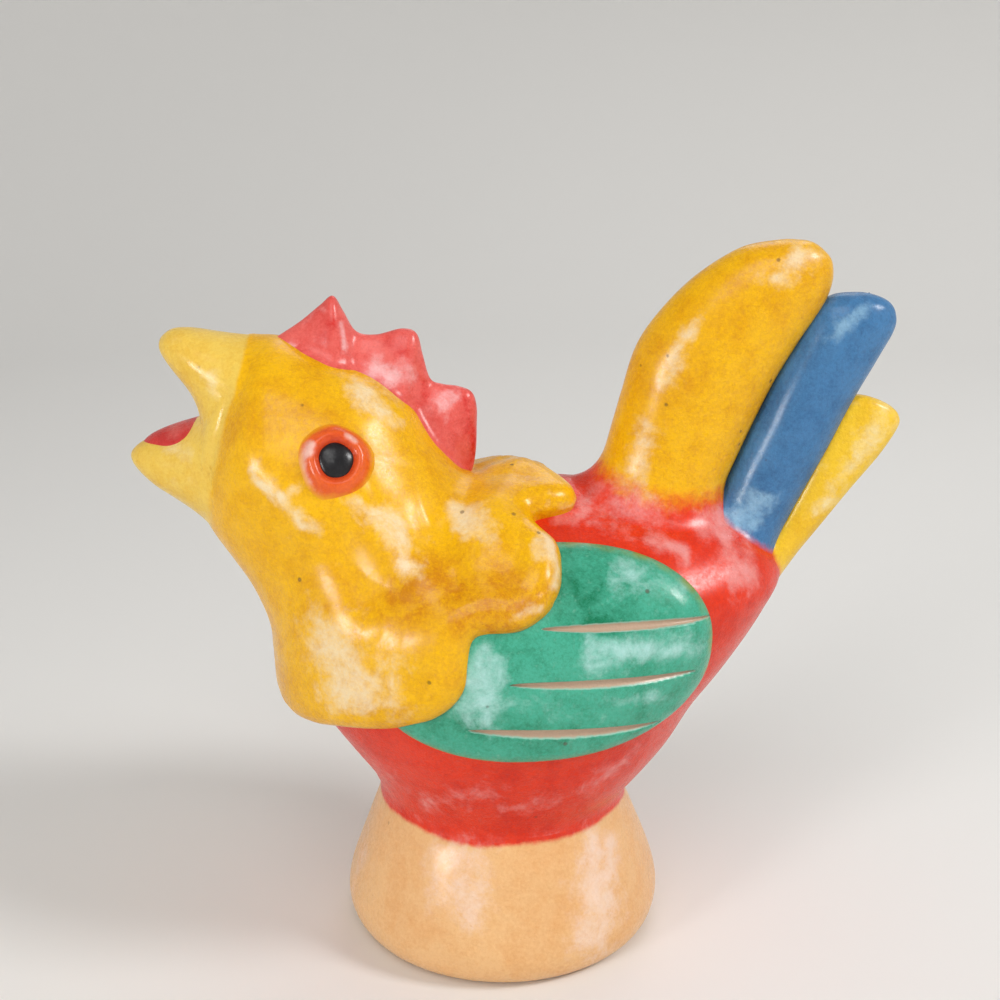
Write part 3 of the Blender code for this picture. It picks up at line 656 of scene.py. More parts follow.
# Places where the yellow ran together to a deep amber.
CAPE_STAINS = both_sides((
    ((-18, -38, 100), (2, -41, 101), 14.0, 1.0), ((-40, -32, 97), (-24, -38, 98), 8.0, 0.6),
    ((-60, -16, 112), (-52, -24, 106), 6.0, 0.4), ((-62, -14, 142), (-61, -17, 130), 3.0, 0.35),
    ((-12, -43, 82), (-16, -43, 72), 5.0, 0.3),
))

folds = [(start, end, RIDGE_SPREAD * radius, 1.0) for start, end, radius, _ in CAPE_RIDGES]
relief = RIDGE_RISE * patches(cape_points, folds, ()) - HOLLOW_DEPTH * patches(cape_points, CAPE_HOLLOWS, ())
cape_points = cape_points + outward(cape_points) * relief[..., None]
from_hem = from_line(cape_points, cape_points[-1])
thickness = np.interp(from_hem / MM, *np.transpose(CAPE_SWELL)) * MM - CAPE_THICKNESS
cape_points = hand_formed(cape_points + outward(cape_points) * thickness[..., None], HAND_WOBBLE)

# The hem is tucked into the body, and the face is closed by a low dome that the beak covers.
FACE_DOME = np.array([-6.0, 0.0, 1.0]) * MM
hem_line = cape_points[-1]
seat = BODY_HEART + (hem_line - BODY_HEART) * reach_of_body(hem_line, -HEM_TUCK)[:, None]
tuck = np.linspace(0.2, 1.0, 5)[:, None, None]
front = cape_points[0].mean(axis=0)
face_bend = np.radians(np.linspace(85, 8, 14))[:, None, None]
face_rows = front + (cape_points[0] - front) * np.cos(face_bend) + FACE_DOME * np.sin(face_bend)
cape_points = np.concatenate([face_rows, cape_points, hem_line + (seat - hem_line) * tuck])
# Flatter places of the breast and crown that are pale as well: the crown's is a painted highlight, the
# breast's partly worn paint and partly painted highlight.
BREAST_RUB_AND_HIGHLIGHT = (-39, -37, 88), (-34, -41, 80), 11.0, 0.95
CROWN_HIGHLIGHT = (-31, -14, 139), (-26, -15, 135), 5.5, 1.0
cape_rub_and_highlight = patches(cape_points, [*CAPE_RIDGES, *both_sides((BREAST_RUB_AND_HIGHLIGHT, CROWN_HIGHLIGHT))])
cape_stain = patches(cape_points, CAPE_STAINS)
cape = skin("head_and_cape", cape_points, rubbed=cape_rub_and_highlight, stained=cape_stain, washed=wash(cape_points))
YELLOW_COAT = tint(250, 190, 0), tint(212, 134, 0), tint(251, 234, 200)
WASH_COAT = tint(247, 208, 92), tint(230, 172, 36), tint(253, 234, 186)
yellow_paint = waxed_clay("waxed_yellow", YELLOW_COAT, over=("washed", WASH_COAT))
dress(cape, yellow_paint, "yellow_paint", "cape", "head")


# BEAK AND TONGUE
# Two tapering halves, drawn out of the face and left open. They carry only a thin wash of the yellow,
# and the lower half holds a red tongue.

# Sections from the face to the tip: upper and lower edge (x, height over the back), half width, in mm.
UPPER_BEAK = (
    (-48.0, 28.0, -55.0, 11.0, 9.0), (-53.0, 31.0, -61.0, 12.4, 11.6), (-58.0, 33.2, -66.0, 14.6, 12.4),
    (-63.0, 34.4, -69.8, 17.4, 11.2), (-68.0, 35.0, -73.2, 21.4, 9.2), (-72.6, 35.6, -76.2, 25.2, 7.0),
    (-76.4, 35.4, -78.4, 28.4, 4.8), (-78.8, 33.9, -79.4, 30.4, 2.5), (-79.6, 32.2, -79.6, 32.2, 0.0),
)
LOWER_BEAK = (
    (-50.0, 10.0, -57.0, -10.0, 9.0), (-57.0, 13.0, -64.0, -11.0, 12.2), (-64.0, 14.2, -70.4, -9.0, 12.8),
    (-70.0, 13.4, -75.4, -6.2, 11.2), (-76.0, 11.8, -79.8, -3.6, 9.0), (-81.4, 10.2, -84.0, -0.6, 6.6),
    (-85.4, 8.6, -86.8, 2.2, 4.2), (-87.6, 6.9, -88.0, 4.2, 2.0), (-88.2, 5.5, -88.2, 5.5, 0.0),
)
TONGUE = (
    (-60.0, 16.0, -61.0, 4.0, 8.4), (-66.0, 15.8, -66.5, 4.0, 8.2), (-72.0, 14.4, -72.6, 4.0, 7.6),
    (-78.0, 12.6, -78.4, 4.0, 6.2), (-82.4, 10.8, -82.6, 4.4, 4.0), (-84.8, 9.0, -84.9, 5.6, 1.8),
    (-85.6, 7.4, -85.6, 7.4, 0.0),
)
BEAK_WOBBLE = 0.25 * MM
BEAK_FILLET = 9.0 * MM
# The share of a column above which it always comes out, and how deep a fillet's edge is sunk and tucked.
BURIED_END = 0.9
FILLET_SUNK, FILLET_TUCK = 0.2 * MM, 1.5 * MM
FILLET_ROWS = 16


def drawn_out(table, rows=90, columns=96):
    """A form drawn out between two rails to a round tip. The sections run on through the tip with their
    edges swapped, which closes it smoothly."""
    last = np.array(table[-2])[[2, 3, 0, 1, 4]] * (1, 1, 1, 1, -1)
    return rail_sections(along(table, np.linspace(0, len(table) - 1, rows), last), ring_turn(columns))


def nearest(points, other):
    """For each point, its distance outside another surface, along the normal of the nearest of a coarse
    pick of that surface's points, and that normal."""
    pick, facing = (grid[::3, ::3].reshape(-1, 3) for grid in (other, outward(other)))
    flat = points.reshape(-1, 3)
    halves = (pick**2).sum(axis=1) / 2
    parts = np.array_split(flat, len(flat) // 500 + 1)
    near = np.concatenate([(halves - part @ pick.T).argmin(axis=1) for part in parts])
    gap = ((flat - pick[near]) * facing[near]).sum(axis=1)
    return gap.reshape(points.shape[:-1]), facing[near].reshape(points.shape)


def picked(grid, place):
    """One point from each column of a grid, at a fractional row."""
    row = np.clip(np.floor(place).astype(int), 0, len(grid) - 2)
    share = (place - row)[:, None]
    column = np.arange(grid.shape[1])
    return grid[row, column] * (1 - share) + grid[row + 1, column] * share


def last_below(gap, level):
    """For each column, the fractional row at which the gap last rises through a level."""
    column = np.arange(gap.shape[1])
    row = np.minimum(len(gap) - 1 - (gap < level)[::-1].argmax(axis=0), len(gap) - 2)
    low, high = gap[row, column], gap[row + 1, column]
    return row + np.clip((level - low) / np.where(high == low, 1, high - low), 0, 1)


def luted(points, other, radius):
    """Clay smoothed into the corner where a piece is pressed onto another. Each column of the piece, from
    root to tip, leaves the other surface at a corner. A curve takes its place that starts along the
    other surface, a radius from the corner, and ends along the piece: a parabola with its control point
    in the corner. A column that stays buried keeps its last tenth. Also gives the way up the curve, from
    one at its start to nothing at its end."""
    gap, facing = nearest(points, other)
    size = np.minimum(radius, 0.5 * np.maximum(gap.max(axis=0), 0.02 * radius))
    most = BURIED_END * (len(points) - 1)
    leave, settle = (np.minimum(last_below(gap, level), most) for level in (0 * size, size))
    corner, upper = picked(points, leave), picked(points, settle)
    normal, flat = picked(outward(points), leave), picked(facing, leave)
    lean = (normal * flat).sum(axis=1, keepdims=True)
    out = normal - lean * flat
    out /= np.maximum(np.linalg.norm(out, axis=1, keepdims=True), 1e-6)
    lower = corner + out * size[:, None] * np.clip(1.3 - lean, 0.3, 1.0)
    under, flat = nearest(lower, other)
    lower -= flat * (under + FILLET_SUNK)[:, None]
    share = np.linspace(0, 1, FILLET_ROWS)[:, None, None]
    curve = (1 - share) ** 2 * lower + 2 * share * (1 - share) * corner + share**2 * upper
    rest = np.linspace(0, 1, len(points))[1:]
    upwards = np.stack([picked(points, settle + (len(points) - 1 - settle) * step) for step in rest])
    tucked = (lower - (flat + out) * FILLET_TUCK)[None]
    way = np.concatenate([[1.0], 1 - share[:, 0, 0], np.zeros(len(rest))])
    return np.concatenate([tucked, curve, upwards]), np.repeat(way[:, None], points.shape[1], axis=1)


pale_paint = waxed_clay("waxed_pale_yellow", YELLOW_COAT, over=("washed", WASH_COAT))
TONGUE_COAT = tint(214, 62, 58), tint(190, 34, 34), tint(238, 140, 132)
tongue_paint = waxed_clay("waxed_tongue_red", TONGUE_COAT)
# The pale spots on the two halves of the beak are painted highlights; the tongue has one pale spot.
for name, table, finish, slot, cad_node, spots in (
        ("beak_upper_half", UPPER_BEAK, pale_paint, "pale_yellow_paint", "beak_upper",
         (((-67, -10, 144), (-65, -12, 139), 3.6, 0.9), ((-78, 0, 150), (-74, -3, 150), 5, 0.4))),
        ("beak_lower_half", LOWER_BEAK, pale_paint, "pale_yellow_paint", "beak_lower",
         (((-80, -6, 125), (-72, -8, 125), 4, 0.8), ((-76, -7, 118), (-68, -9, 116), 4, 0.4))),
        ("tongue_leaf", TONGUE, tongue_paint, "tongue_paint", "tongue",
         (((-78, -3, 128), (-72, -4, 131), 4, 0.6),))):
    piece_points = hand_formed(drawn_out(table), BEAK_WOBBLE)
    if cad_node != "tongue":
        piece_points, _ = luted(piece_points, cape_points, BEAK_FILLET)
    piece = skin(name, piece_points, rubbed=patches(piece_points, both_sides(spots)),
                 stained=patches(piece_points, CAPE_STAINS), washed=wash(piece_points))
    dress(piece, finish, slot, cad_node)


# COMB
# A thick blade of clay with three pinched points, pressed along the crown and down the nape so that
# its root spreads into the head. It is painted red; its ridges are pale pink, partly worn paint and partly
# painted highlight.

# Stations from brow to nape: foot in the head and top edge (x, height over the back), half width, in mm.
COMB = (
    (-53.0, 27.0, -56.0, 31.6, 0.3), (-51.5, 26.0, -53.6, 33.0, 3.6), (-49.0, 24.6, -50.6, 34.8, 5.4),
    (-45.0, 22.6, -46.4, 37.6, 6.6), (-41.0, 21.0, -42.2, 41.0, 7.6), (-38.5, 20.0, -39.1, 43.2, 8.0),
    (-36.0, 19.0, -36.8, 39.6, 7.4), (-34.0, 18.0, -34.0, 35.0, 6.2), (-31.5, 16.0, -29.4, 34.2, 6.4),
    (-28.0, 13.4, -23.4, 35.6, 7.6), (-25.5, 11.4, -20.0, 34.4, 7.8), (-24.0, 9.6, -18.6, 29.2, 6.6),
    (-23.0, 8.0, -17.0, 23.8, 6.0), (-21.8, 6.4, -14.2, 22.5, 6.6), (-20.8, 4.6, -10.6, 22.0, 7.0),
    (-20.0, 3.0, -7.4, 20.6, 7.0), (-19.2, 1.0, -6.2, 17.2, 6.6), (-18.8, -1.0, -6.2, 12.0, 6.0),
    (-18.5, -3.0, -6.4, 6.6, 4.8), (-18.5, -5.0, -7.4, 1.4, 3.2), (-18.5, -7.0, -10.0, -3.0, 0.3),
)
COMB_FILLET = 3.0 * MM
COMB_ROWS, COMB_STATIONS = 70, 180


def comb_surface():
    """A blade over a fan of stations. The ring runs along its left side and back along its right, and the
    rows climb from the root in the head to the edge, where the half width falls to nothing as a root."""
    rows = along(COMB, np.linspace(0, len(COMB) - 1, COMB_STATIONS))
    ring = np.vstack([rows * (1, 1, 1, 1, -1), rows[::-1]])
    lift = np.linspace(0, 1, COMB_ROWS)[:, None] ** 0.8
    width = 0.62 * np.sqrt(1 - lift**2.5) + 0.38 * (1 - lift)
    ax, az = over_back(ring[:, 0], ring[:, 1])
    bx, bz = over_back(ring[:, 2], ring[:, 3])
    return np.stack([ax + (bx - ax) * lift, ring[:, 4] * MM * width, az + (bz - az) * lift], axis=2)


comb_points, _ = luted(comb_surface(), cape_points, COMB_FILLET)
# Pale pink on the ridges: painted highlights, partly worn paint.
COMB_RUBS_AND_HIGHLIGHTS = both_sides((
    ((-49, -3, 148), (-41, -3, 157), 1.6, 0.95), ((-37, -3, 154), (-36, -5, 147), 2.4, 1.0),
    ((-29, -5, 143), (-25, -5, 141), 5, 1.0), ((-22, -4, 147), (-23, -5, 143), 2.5, 0.7),
    ((-14, -4, 134), (-11, -4, 136), 3.6, 1.0),
))
COMB_STAINS = both_sides((
    ((-42, -5, 148), (-40, -3, 155), 2.6, 1.0), ((-26, -3, 150), (-22, -3, 149), 2.6, 1.0),
    ((-8, -2, 120), (-8, -2, 135), 2.8, 1.0), ((-19, -4, 140), (-17, -4, 136), 2.4, 0.9),
))
comb = skin("comb_blade", comb_points, end=False, rubbed=patches(comb_points, COMB_RUBS_AND_HIGHLIGHTS),
            stained=patches(comb_points, COMB_STAINS))
COMB_COAT = tint(238, 108, 100), tint(214, 44, 38), tint(251, 204, 206)
comb_paint = waxed_clay("waxed_comb_red", COMB_COAT)
dress(comb, comb_paint, "comb_paint", "comb")


# EYES
# A coil of clay pressed into a ring on each side of the head and painted orange, with a bead in its
# middle that is painted black.

SIDES = ("left", -1), ("right", 1)
EYE_X, EYE_OVER_BACK = -37.0, 11.0
EYE_RADIUS = 9.7 * MM
EYE_RISE = 2.2 * MM
PUPIL_RADIUS = 4.5 * MM
PUPIL_BASE, PUPIL_RISE = 0.6 * MM, 1.1 * MM
# How deep the ring's hole and the bead's foot reach into the head.
HOLE_DEPTH, BEAD_DEPTH = 1.2 * MM, 1.5 * MM
EYE_COLUMNS = 96
# The eye is a little flattened: its length and height as shares of a round one.
EYE_LENGTH, EYE_HEIGHT = 0.88, 0.92
# How much of the head around an eye its curve is fitted to.
SEAT_REACH = 14 * MM


def quadric(u, v):
    """The six terms of a surface of the second degree: one, u, v, u squared, u times v and v squared."""
    return np.stack([np.ones_like(u), u, v, u * u, u * v, v * v], axis=-1)


def eye_seat(side):
    """The place of an eye: its centre and axes on the head, and a paraboloid fitted by least squares to
    the head around it, so that the ring can follow the head's curve."""
    head = cape_points.reshape(-1, 3)
    normal = outward(cape_points).reshape(-1, 3)
    x, z = over_back(EYE_X, EYE_OVER_BACK)
    away = np.hypot(head[:, 0] - x, head[:, 2] - z) + 1e3 * (head[:, 1] * side < 10 * MM)
    centre, up = head[away.argmin()], normal[away.argmin()]
    up = up * np.sign(up[1] * side)
    right = np.cross((0.0, 0.0, 1.0), up)
    right /= np.linalg.norm(right)
    axes = np.stack([right, np.cross(up, right), up])
    near = (head - centre) @ axes.T
    near = near[np.linalg.norm(near, axis=1) < SEAT_REACH]
    curve = np.linalg.lstsq(quadric(near[:, 0], near[:, 1]), near[:, 2], rcond=None)[0]
    return centre, axes, curve


def eye_form(seat, profile):
    """A profile of radius and height turned about an eye's axis and laid on the head's curve."""
    centre, axes, curve = seat
    turn = ring_turn(EYE_COLUMNS)
    uneven = 1 + 0.018 * np.sin(3 * turn + 1.0) + 0.014 * np.sin(5 * turn + 0.3)
    u = np.outer(profile[:, 0], np.cos(turn) * uneven) * EYE_LENGTH
    v = np.outer(profile[:, 0], np.sin(turn) * uneven) * EYE_HEIGHT
    base = (quadric(u, v) * curve).sum(axis=2)
    return centre + np.stack([u, v, base + profile[:, 1:]], axis=2) @ axes


# Pale places on the ring: two painted highlights high up, and a worn band at its front foot. Each gives its
# turn from its rear edge, spread, way in and strength.
EYE_HIGHLIGHTS_AND_WEAR = ((0.9, 0.06, 0.55, 1.0), (2.7, 0.05, 0.55, 1.0), (3.3, 0.30, 0.22, 0.7))


EYE_AMBER, EYE_RED = tint(246, 176, 24), tint(206, 36, 16)


def eye_colour(tree, shown):
    """Paint that runs from amber at the foot of the ring over its own orange to red at its hole."""
    inner = stored(tree, "inner")
    ragged = weighed(tree, (inner, 1), (noise(tree, place_on(tree), 3.0, 4.0), 0.3))
    outer = blend(tree, band(tree, ragged, 0.16, 0.48, 0.9, 0.0), shown, EYE_AMBER)
    return blend(tree, band(tree, inner, 0.5, 1.0, 0.0, 0.6), outer, EYE_RED)


ORANGE_COAT = tint(240, 104, 36), tint(220, 66, 22), tint(251, 214, 202)
BLACK_COAT = tint(26, 25, 28), tint(10, 10, 12), tint(118, 124, 136)
EYE_WAX = 0.8
eye_paint = waxed_clay("waxed_orange", ORANGE_COAT, EYE_WAX, colour=eye_colour)
pupil_paint = waxed_clay("waxed_black", BLACK_COAT, EYE_WAX)
ring_share = np.linspace(0, 1, 40)
ring_radius = EYE_RADIUS + (PUPIL_RADIUS * 0.9 - EYE_RADIUS) * ring_share
ring_rise = EYE_RISE * np.sin(math.pi * 0.9 * ring_share**1.25) - 0.3 * MM * (1 - ring_share) ** 4
ring_hole = [[PUPIL_RADIUS * 0.8, -HOLE_DEPTH]]
ring_profile = np.vstack([np.stack([ring_radius, ring_rise], axis=1), ring_hole])
bead_bend = np.linspace(0, math.pi / 2, 24)
bead_radius, bead_rise = PUPIL_RADIUS * 1.02 * np.cos(bead_bend), PUPIL_BASE + PUPIL_RISE * np.sin(bead_bend)
bead_foot = [[PUPIL_RADIUS, -BEAD_DEPTH]]
bead_profile = np.vstack([bead_foot, np.stack([bead_radius, bead_rise], axis=1)[:-1]])
for side_name, side in SIDES:
    seat = eye_seat(side)
    ring_points = eye_form(seat, ring_profile)
    inner = np.repeat(np.append(ring_share, 1.0)[:, None], ring_points.shape[1], axis=1)
    # Painted highlights and a worn band on the ring.
    highlight_and_wear = np.zeros(ring_points.shape[:2])
    for turn, width, middle, strength in EYE_HIGHLIGHTS_AND_WEAR:
        away = np.cos(ring_turn(EYE_COLUMNS) - (turn if side < 0 else math.pi - turn)) - 1
        highlight_and_wear += strength * bell(away, width) * bell(inner - middle, 0.22)
    ring = skin(f"eye_coil_{side_name}", ring_points, rubbed=highlight_and_wear, inner=inner)
    dress(ring, eye_paint, "orange_paint", f"eye_ring_{side_name}")
    bead_points = eye_form(seat, bead_profile)
    bead = skin(f"eye_bead_{side_name}", bead_points)
    dress(bead, pupil_paint, "black_paint", f"pupil_{side_name}")


# WINGS
# A low pad on each side, smoothed onto the body and tucked under the cape. It is painted green, and
# three feather grooves are carved through the paint down to the clay.

WING_CENTRE = (8.0, -31.7)
WING_HALF_LENGTH, WING_HALF_DEPTH = 39.5, 23.4
WING_FULLNESS = 2.5
WING_RELIEF = 1.8 * MM
# The share of the oval over which the rim rounds off, and how deep its edge is sunk.
WING_ROUNDING = 0.14
WING_SUNK = 0.35 * MM
WING_COLUMNS = 420
GROOVE_DEPTH = 1.0 * MM
# Each groove's ends (x, height over the back) and its half width, in mm.
GROOVES = (
    ((8.3, -23.0), (46.2, -24.0), 1.0),
    ((1.4, -34.3), (42.6, -36.1), 1.2),
    ((-7.5, -45.4), (35.0, -48.2), 1.35),
)


def body_side(x, height, side):
    """Points of the body's flank at places of the side view: the egg section solved for its width."""
    rows = body_levels(count=400)
    breast, rump, half_width = (np.interp(height, rows[:, 0], rows[:, k]) for k in (1, 2, 3))
    share = (x - FOOT_X) / np.where(x > FOOT_X, rump, breast)
    return np.stack([x, side * half_width * np.sqrt(np.clip(1 - share**2, 0.0, 1)), height], axis=2)


def groove_mask(x, height):
    """Leaf-shaped cuts: one along each groove's middle line, falling to nothing at its half width, which
    swells as a sine from end to end."""
    cut = np.zeros_like(x)
    for (x0, z0), (x1, z1), half_width in GROOVES:
        (sx, sz), (ex, ez) = over_back(x0, z0), over_back(x1, z1)
        span = np.hypot(ex - sx, ez - sz)
        run = ((x - sx) * (ex - sx) + (height - sz) * (ez - sz)) / span**2
        off = np.abs((x - sx) * (ez - sz) - (height - sz) * (ex - sx)) / span
        width = half_width * MM * np.sqrt(np.clip(np.sin(math.pi * np.clip(run, 0, 1)), 0, 1)) + 1e-6
        cut = np.maximum(cut, np.clip(1 - (off / width) ** 2, 0, 1) * ((run > 0) & (run < 1)))
    return cut


def wing_surface(side):
    """A pad over a full oval of the flank. Rings of the oval run from its rim to its middle, the height
    over the body rounds off at the rim, and the grooves are cut out of it."""
    share = np.concatenate([[1.015, 1.008], np.linspace(1.0, 0.90, 16), np.linspace(0.895, 0.0, 150)[:-1]])
    turn = ring_turn(WING_COLUMNS)
    circle = np.stack([np.cos(turn), np.sin(turn)], axis=1)
    oval = np.sign(circle) * np.abs(circle) ** (2 / WING_FULLNESS)
    x, z = over_back(WING_CENTRE[0] + WING_HALF_LENGTH * np.outer(share, oval[:, 0]),
                     WING_CENTRE[1] + WING_HALF_DEPTH * np.outer(share, oval[:, 1]))
    flank = body_side(x, z, side)
    normal = outward(flank)
    normal = normal * np.sign(normal[..., 1:2] * side + 1e-9)
    inset = np.clip((1.0 - share) / WING_ROUNDING, 0, 1)[:, None]
    rise = WING_RELIEF * np.sqrt(1 - (1 - inset) ** 2) - WING_SUNK * (1 - inset)
    rise[:2] = [[-1.6 * MM], [-0.9 * MM]]
    cut = groove_mask(x, z)
    points = flank + normal * (rise - GROOVE_DEPTH * cut)[..., None]
    return points, cut, np.repeat(np.clip((share - 0.93) / 0.06, 0, 1)[:, None], len(turn), axis=1)


SCRAPED_GREEN, CUT_CLAY, EDGE_OLIVE = tint(152, 204, 184), tint(198, 168, 144), tint(150, 158, 58)


def groove_clay(tree, shown):
    """Bare clay along the grooves, with a pale rim where the tool scraped the paint, and a wing edge that
    is olive where the green runs over the yellow and red."""
    place = place_on(tree)
    ragged = weighed(tree, (stored(tree, "groove"), 1), (noise(tree, place, 1.5, 4.0), 0.5))
    scraped = blend(tree, band(tree, ragged, 0.28, 0.55), shown, SCRAPED_GREEN)
    cleared = blend(tree, band(tree, ragged, 0.50, 0.90), scraped, CUT_CLAY)
    olive = sums(tree, "MULTIPLY", stored(tree, "rim"), band(tree, noise(tree, place, 4.0, 4.0), 0.3, 0.7))
    return blend(tree, olive, cleared, EDGE_OLIVE)


# Pale places on the green: painted highlights, partly worn paint.
WING_RUBS_AND_HIGHLIGHTS = both_sides((
    ((-4, -44, 87), (-5, -44, 75), 7, 0.9), ((20, -41, 88), (41, -34, 87), 6, 0.95),
    ((-7, -44, 78), (33, -37, 76), 5.5, 0.6), ((28, -32, 102), (38, -31, 101), 7, 0.75),
))
WING_STAINS = both_sides((
    ((17, -41, 97), (26, -40, 96), 7, 0.9), ((15, -37, 100), (20, -34, 103), 7, 0.95),
    ((-13, -42, 73), (12, -41, 69), 6, 0.8), ((30, -36, 72), (44, -30, 80), 4, 0.6),
))
GREEN_COAT = tint(72, 178, 148), tint(10, 120, 82), tint(192, 234, 230)
green_paint = waxed_clay("waxed_green", GREEN_COAT, THICK_WAX, colour=groove_clay)
for side_name, side in SIDES:
    wing_points, groove, rim = wing_surface(side)
    wing = skin(f"wing_pad_{side_name}", wing_points, rubbed=patches(wing_points, WING_RUBS_AND_HIGHLIGHTS),
                stained=patches(wing_points, WING_STAINS), groove=groove, rim=rim)
    dress(wing, green_paint, "green_paint", f"wing_{side_name}")


# TAIL
# Three plumes pressed one behind the other, each narrower than the one before. They stand on the back,
# where their roots are smoothed into the body.

# Sections from root to tip: front and rear edge (x, height over the back), half width, in mm.
FRONT_PLUME = (
    (17.0, -12.0, 47.0, -18.0, 15.5), (22.4, 1.5, 50.5, -6.0, 13.2), (24.2, 8.0, 53.4, 1.0, 12.2),
    (27.2, 19.8, 58.0, 11.8, 11.6), (31.0, 31.3, 63.0, 23.3, 11.0), (37.0, 40.3, 68.4, 32.4, 10.2),
    (45.0, 48.3, 73.2, 40.2, 9.2), (54.0, 54.3, 75.3, 46.0, 7.7), (62.6, 56.0, 75.0, 51.0, 5.4),
    (67.4, 56.0, 72.8, 53.8, 3.0), (70.2, 55.5, 70.2, 55.5, 0.0),
)
MIDDLE_PLUME = (
    (43.0, -20.0, 60.0, -29.0, 11.0), (47.0, -13.0, 65.0, -17.5, 9.2), (50.6, -5.6, 68.4, -10.4, 8.2),
    (54.0, 3.8, 72.3, -2.7, 8.0), (58.5, 14.8, 77.5, 8.3, 8.0), (63.0, 24.8, 82.0, 18.3, 7.8),
    (67.5, 33.8, 87.0, 28.3, 7.2), (71.0, 40.4, 90.4, 35.3, 6.4), (75.2, 43.4, 90.4, 39.4, 4.8),
    (79.6, 44.2, 88.4, 42.2, 2.7), (84.0, 44.0, 84.0, 44.0, 0.0),
)
REAR_PLUME = (
    (50.0, -26.0, 61.0, -33.0, 7.0), (57.0, -21.0, 67.4, -24.0, 5.8), (61.5, -15.8, 71.0, -18.6, 5.1),
    (66.0, -8.2, 77.4, -10.5, 5.0), (71.0, 2.8, 83.2, -2.4, 4.8), (75.6, 13.4, 89.4, 5.8, 4.3),
    (79.0, 19.2, 93.0, 12.2, 3.6), (83.0, 20.2, 93.0, 15.0, 2.6), (87.2, 19.2, 91.6, 16.8, 1.4),
    (89.8, 18.0, 89.8, 18.0, 0.0),
)

PLUME_ROWS, PLUME_COLUMNS = 170, 144
BLUE_COAT = tint(72, 128, 178), tint(38, 82, 128), tint(164, 206, 232)
LEMON_COAT = tint(250, 204, 44), tint(226, 168, 16), tint(252, 236, 190)
plume_yellow = waxed_clay("waxed_plume_yellow", YELLOW_COAT, over=("red_edge", RED_COAT))
plume_lemon = waxed_clay("waxed_plume_lemon", LEMON_COAT, over=("red_edge", RED_COAT))
blue_paint = waxed_clay("waxed_blue", BLUE_COAT, over=("red_edge", RED_COAT))
# Each plume's fillet, how soon the body's red fades up it, and its pale places: painted highlights, such as
# at the front plume's tip, and worn paint.
for name, table, finish, slot, cad_node, fillet, fade, spots in (
        ("tail_front", FRONT_PLUME, plume_yellow, "yellow_paint", "tail_plume_front", 8.0 * MM, 0.5,
         (((30, -10, 119), (33, -10, 131), 4.5, 0.85), ((37, -10, 141), (42, -9, 153), 4.2, 0.85),
          ((61, -8, 165), (67, -6, 169), 5, 1.0))),
        ("tail_middle", MIDDLE_PLUME, blue_paint, "blue_paint", "tail_plume_middle", 5.0 * MM, 2.0,
         (((82, -4, 157), (76, -6, 152), 4.4, 0.9), ((56, -8, 109), (61, -8, 112), 5, 0.8))),
        ("tail_rear", REAR_PLUME, plume_lemon, "yellow_paint", "tail_plume_rear", 5.0 * MM, 2.0,
         (((89, -3, 132), (86, -4, 126), 7, 0.85), ((86, -4, 126), (75, -5, 110), 6, 0.75)))):
    plume_form = hand_formed(drawn_out(table, PLUME_ROWS, PLUME_COLUMNS), HAND_WOBBLE)
    plume_points, way_down = luted(plume_form, body_points, fillet)
    plume_rub_and_highlight = patches(plume_points, [*both_sides(spots), *BODY_RUBS_AND_HIGHLIGHTS])
    plume = skin(name, plume_points, rubbed=plume_rub_and_highlight, red_edge=way_down**fade)
    dress(plume, finish, slot, cad_node)


# STUDIO
# A plain pale sweep under soft lamps, and the camera where the photographer stood.

# Flat run, radius of the bend and height of the sweep, and its middle ring, in metres.
FLOOR_RUN, SWEEP_BEND, SWEEP_HEIGHT = 0.75, 0.7, 1.0
SWEEP_MIDDLE = 0.02
PAPER_GREY, PAPER_ROUGHNESS, PAPER_GLOSS = (0.84, 0.83, 0.81, 1.0), 0.9, 0.1
ROOM_LIGHT, ROOM_STRENGTH = (1.0, 0.99, 0.97, 1.0), 0.28


def sweep_surface():
    """A round floor that bends up into a wall: a straight run, a quarter circle and a straight rise,
    turned about the middle."""
    bend = np.linspace(0, math.pi / 2, 24)
    reach = FLOOR_RUN + SWEEP_BEND
    radius = np.concatenate([[SWEEP_MIDDLE, FLOOR_RUN], FLOOR_RUN + SWEEP_BEND * np.sin(bend), [reach]])
    height = np.concatenate([[0.0, 0.0], SWEEP_BEND * (1 - np.cos(bend)), [SWEEP_HEIGHT]])
    turn = np.linspace(0, 2 * math.pi, 97)
    return np.stack([np.outer(radius, np.cos(turn)), np.outer(radius, np.sin(turn)),
                     np.repeat(height[:, None], len(turn), axis=1)], axis=2)


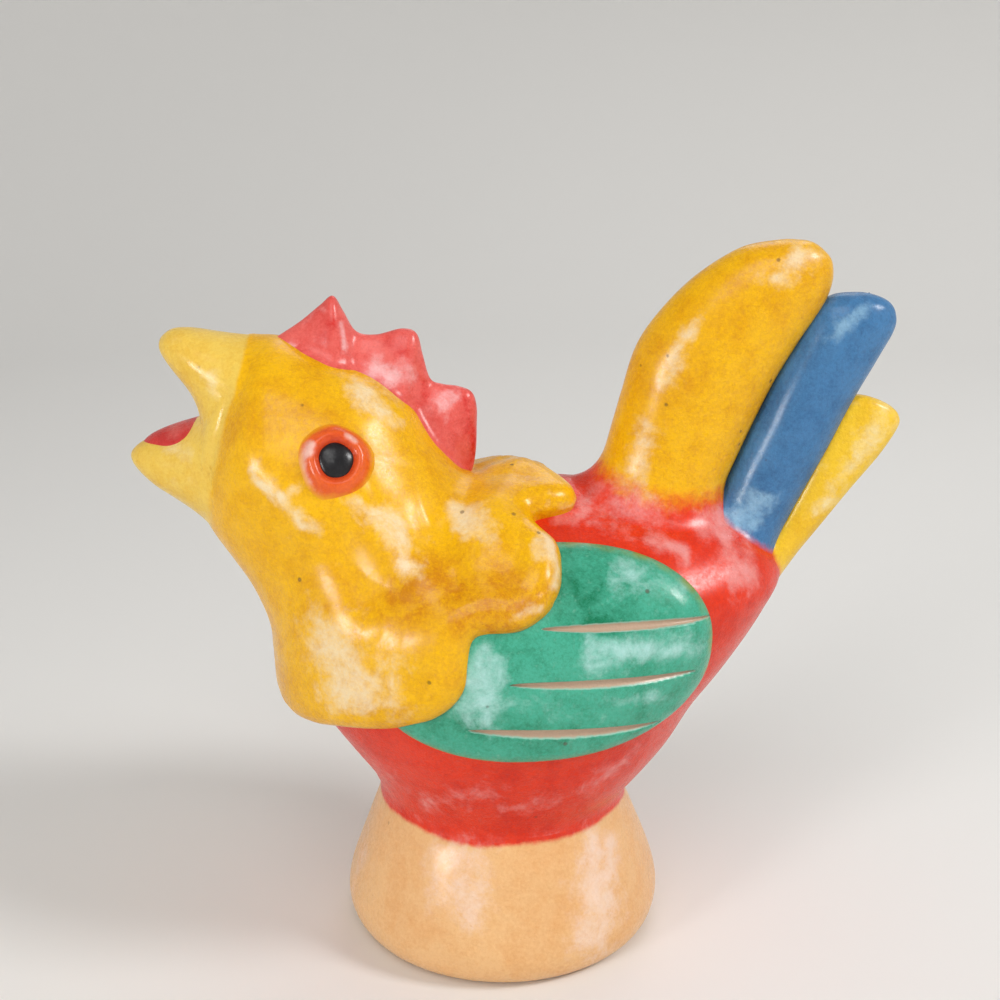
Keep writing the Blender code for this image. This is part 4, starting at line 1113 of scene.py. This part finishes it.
sweep_points = sweep_surface()
sweep_index = np.arange(sweep_points[..., 0].size).reshape(sweep_points.shape[:2])
low, high = sweep_index[:-1], sweep_index[1:]
sweep_quads = np.stack([low[:, :-1], high[:, :-1], high[:, 1:], low[:, 1:]], axis=2).reshape(-1, 4)
sweep_mesh = bpy.data.meshes.new("studio_sweep")
sweep_mesh.from_pydata(sweep_points.reshape(-1, 3).tolist(), [],
                       [sweep_index[0, :-1].tolist()] + sweep_quads.tolist())
sweep_mesh.shade_smooth()
sweep = bpy.data.objects.new("studio_sweep", sweep_mesh)
bpy.context.scene.collection.objects.link(sweep)
sweep_paper = bpy.data.materials.new("sweep_paper")
sweep_paper.use_nodes = True
paper_shader = sweep_paper.node_tree.nodes["Principled BSDF"]
paper_shader.inputs["Base Color"].default_value = PAPER_GREY
paper_shader.inputs["Roughness"].default_value = PAPER_ROUGHNESS
paper_shader.inputs["Specular IOR Level"].default_value = PAPER_GLOSS
sweep_mesh.materials.append(sweep_paper)

world = bpy.data.worlds.new("studio")
world.use_nodes = True
world.node_tree.nodes["Background"].inputs["Color"].default_value = ROOM_LIGHT
world.node_tree.nodes["Background"].inputs["Strength"].default_value = ROOM_STRENGTH
bpy.context.scene.world = world

# Place, width, power in watts and spread in degrees of the lamps, which all aim at the bird's middle.
# The low one has a grid, to keep its light off the floor.
LAMP_AIM = 0.0, 0.0, 0.09
for name, place, width, power, spread in (
        ("right_lamp", (0.86, -0.31, 0.86), 0.30, 6.4, 180),
        ("left_lamp", (-0.84, -0.84, 0.34), 0.28, 0.35, 50),
        ("front_lamp", (-0.15, -0.80, 1.05), 0.70, 4.0, 180),
        ("back_lamp", (0.20, 0.90, 0.90), 0.60, 2.0, 180)):
    lamp = bpy.data.lights.new(name, "AREA")
    lamp.size = width
    lamp.energy = power
    lamp.spread = math.radians(spread)
    holder = bpy.data.objects.new(name, lamp)
    holder.visible_camera = False
    bpy.context.scene.collection.objects.link(holder)
    aim = np.subtract(LAMP_AIM, place)
    tilt, heading = math.acos(-aim[2] / np.linalg.norm(aim)), math.atan2(aim[1], aim[0]) - math.pi / 2
    holder.location = place
    holder.rotation_euler = tilt, 0.0, heading

# The camera's place beside the foot's axis, before it and over the floor, and its tilt from straight down.
CAMERA_PLACE = FOOT_X - 0.72 * MM, -342.5 * MM, 218.2 * MM
CAMERA_TILT = math.radians(72.5)
camera = bpy.data.cameras.new("camera")
camera.sensor_width = 36.0
camera.lens = 54.0
camera.clip_start = 0.01
viewer = bpy.data.objects.new("camera", camera)
viewer.location = CAMERA_PLACE
viewer.rotation_euler = CAMERA_TILT, 0.0, 0.0
bpy.context.scene.collection.objects.link(viewer)
bpy.context.scene.camera = viewer
bpy.context.scene.view_settings.view_transform = "Standard"
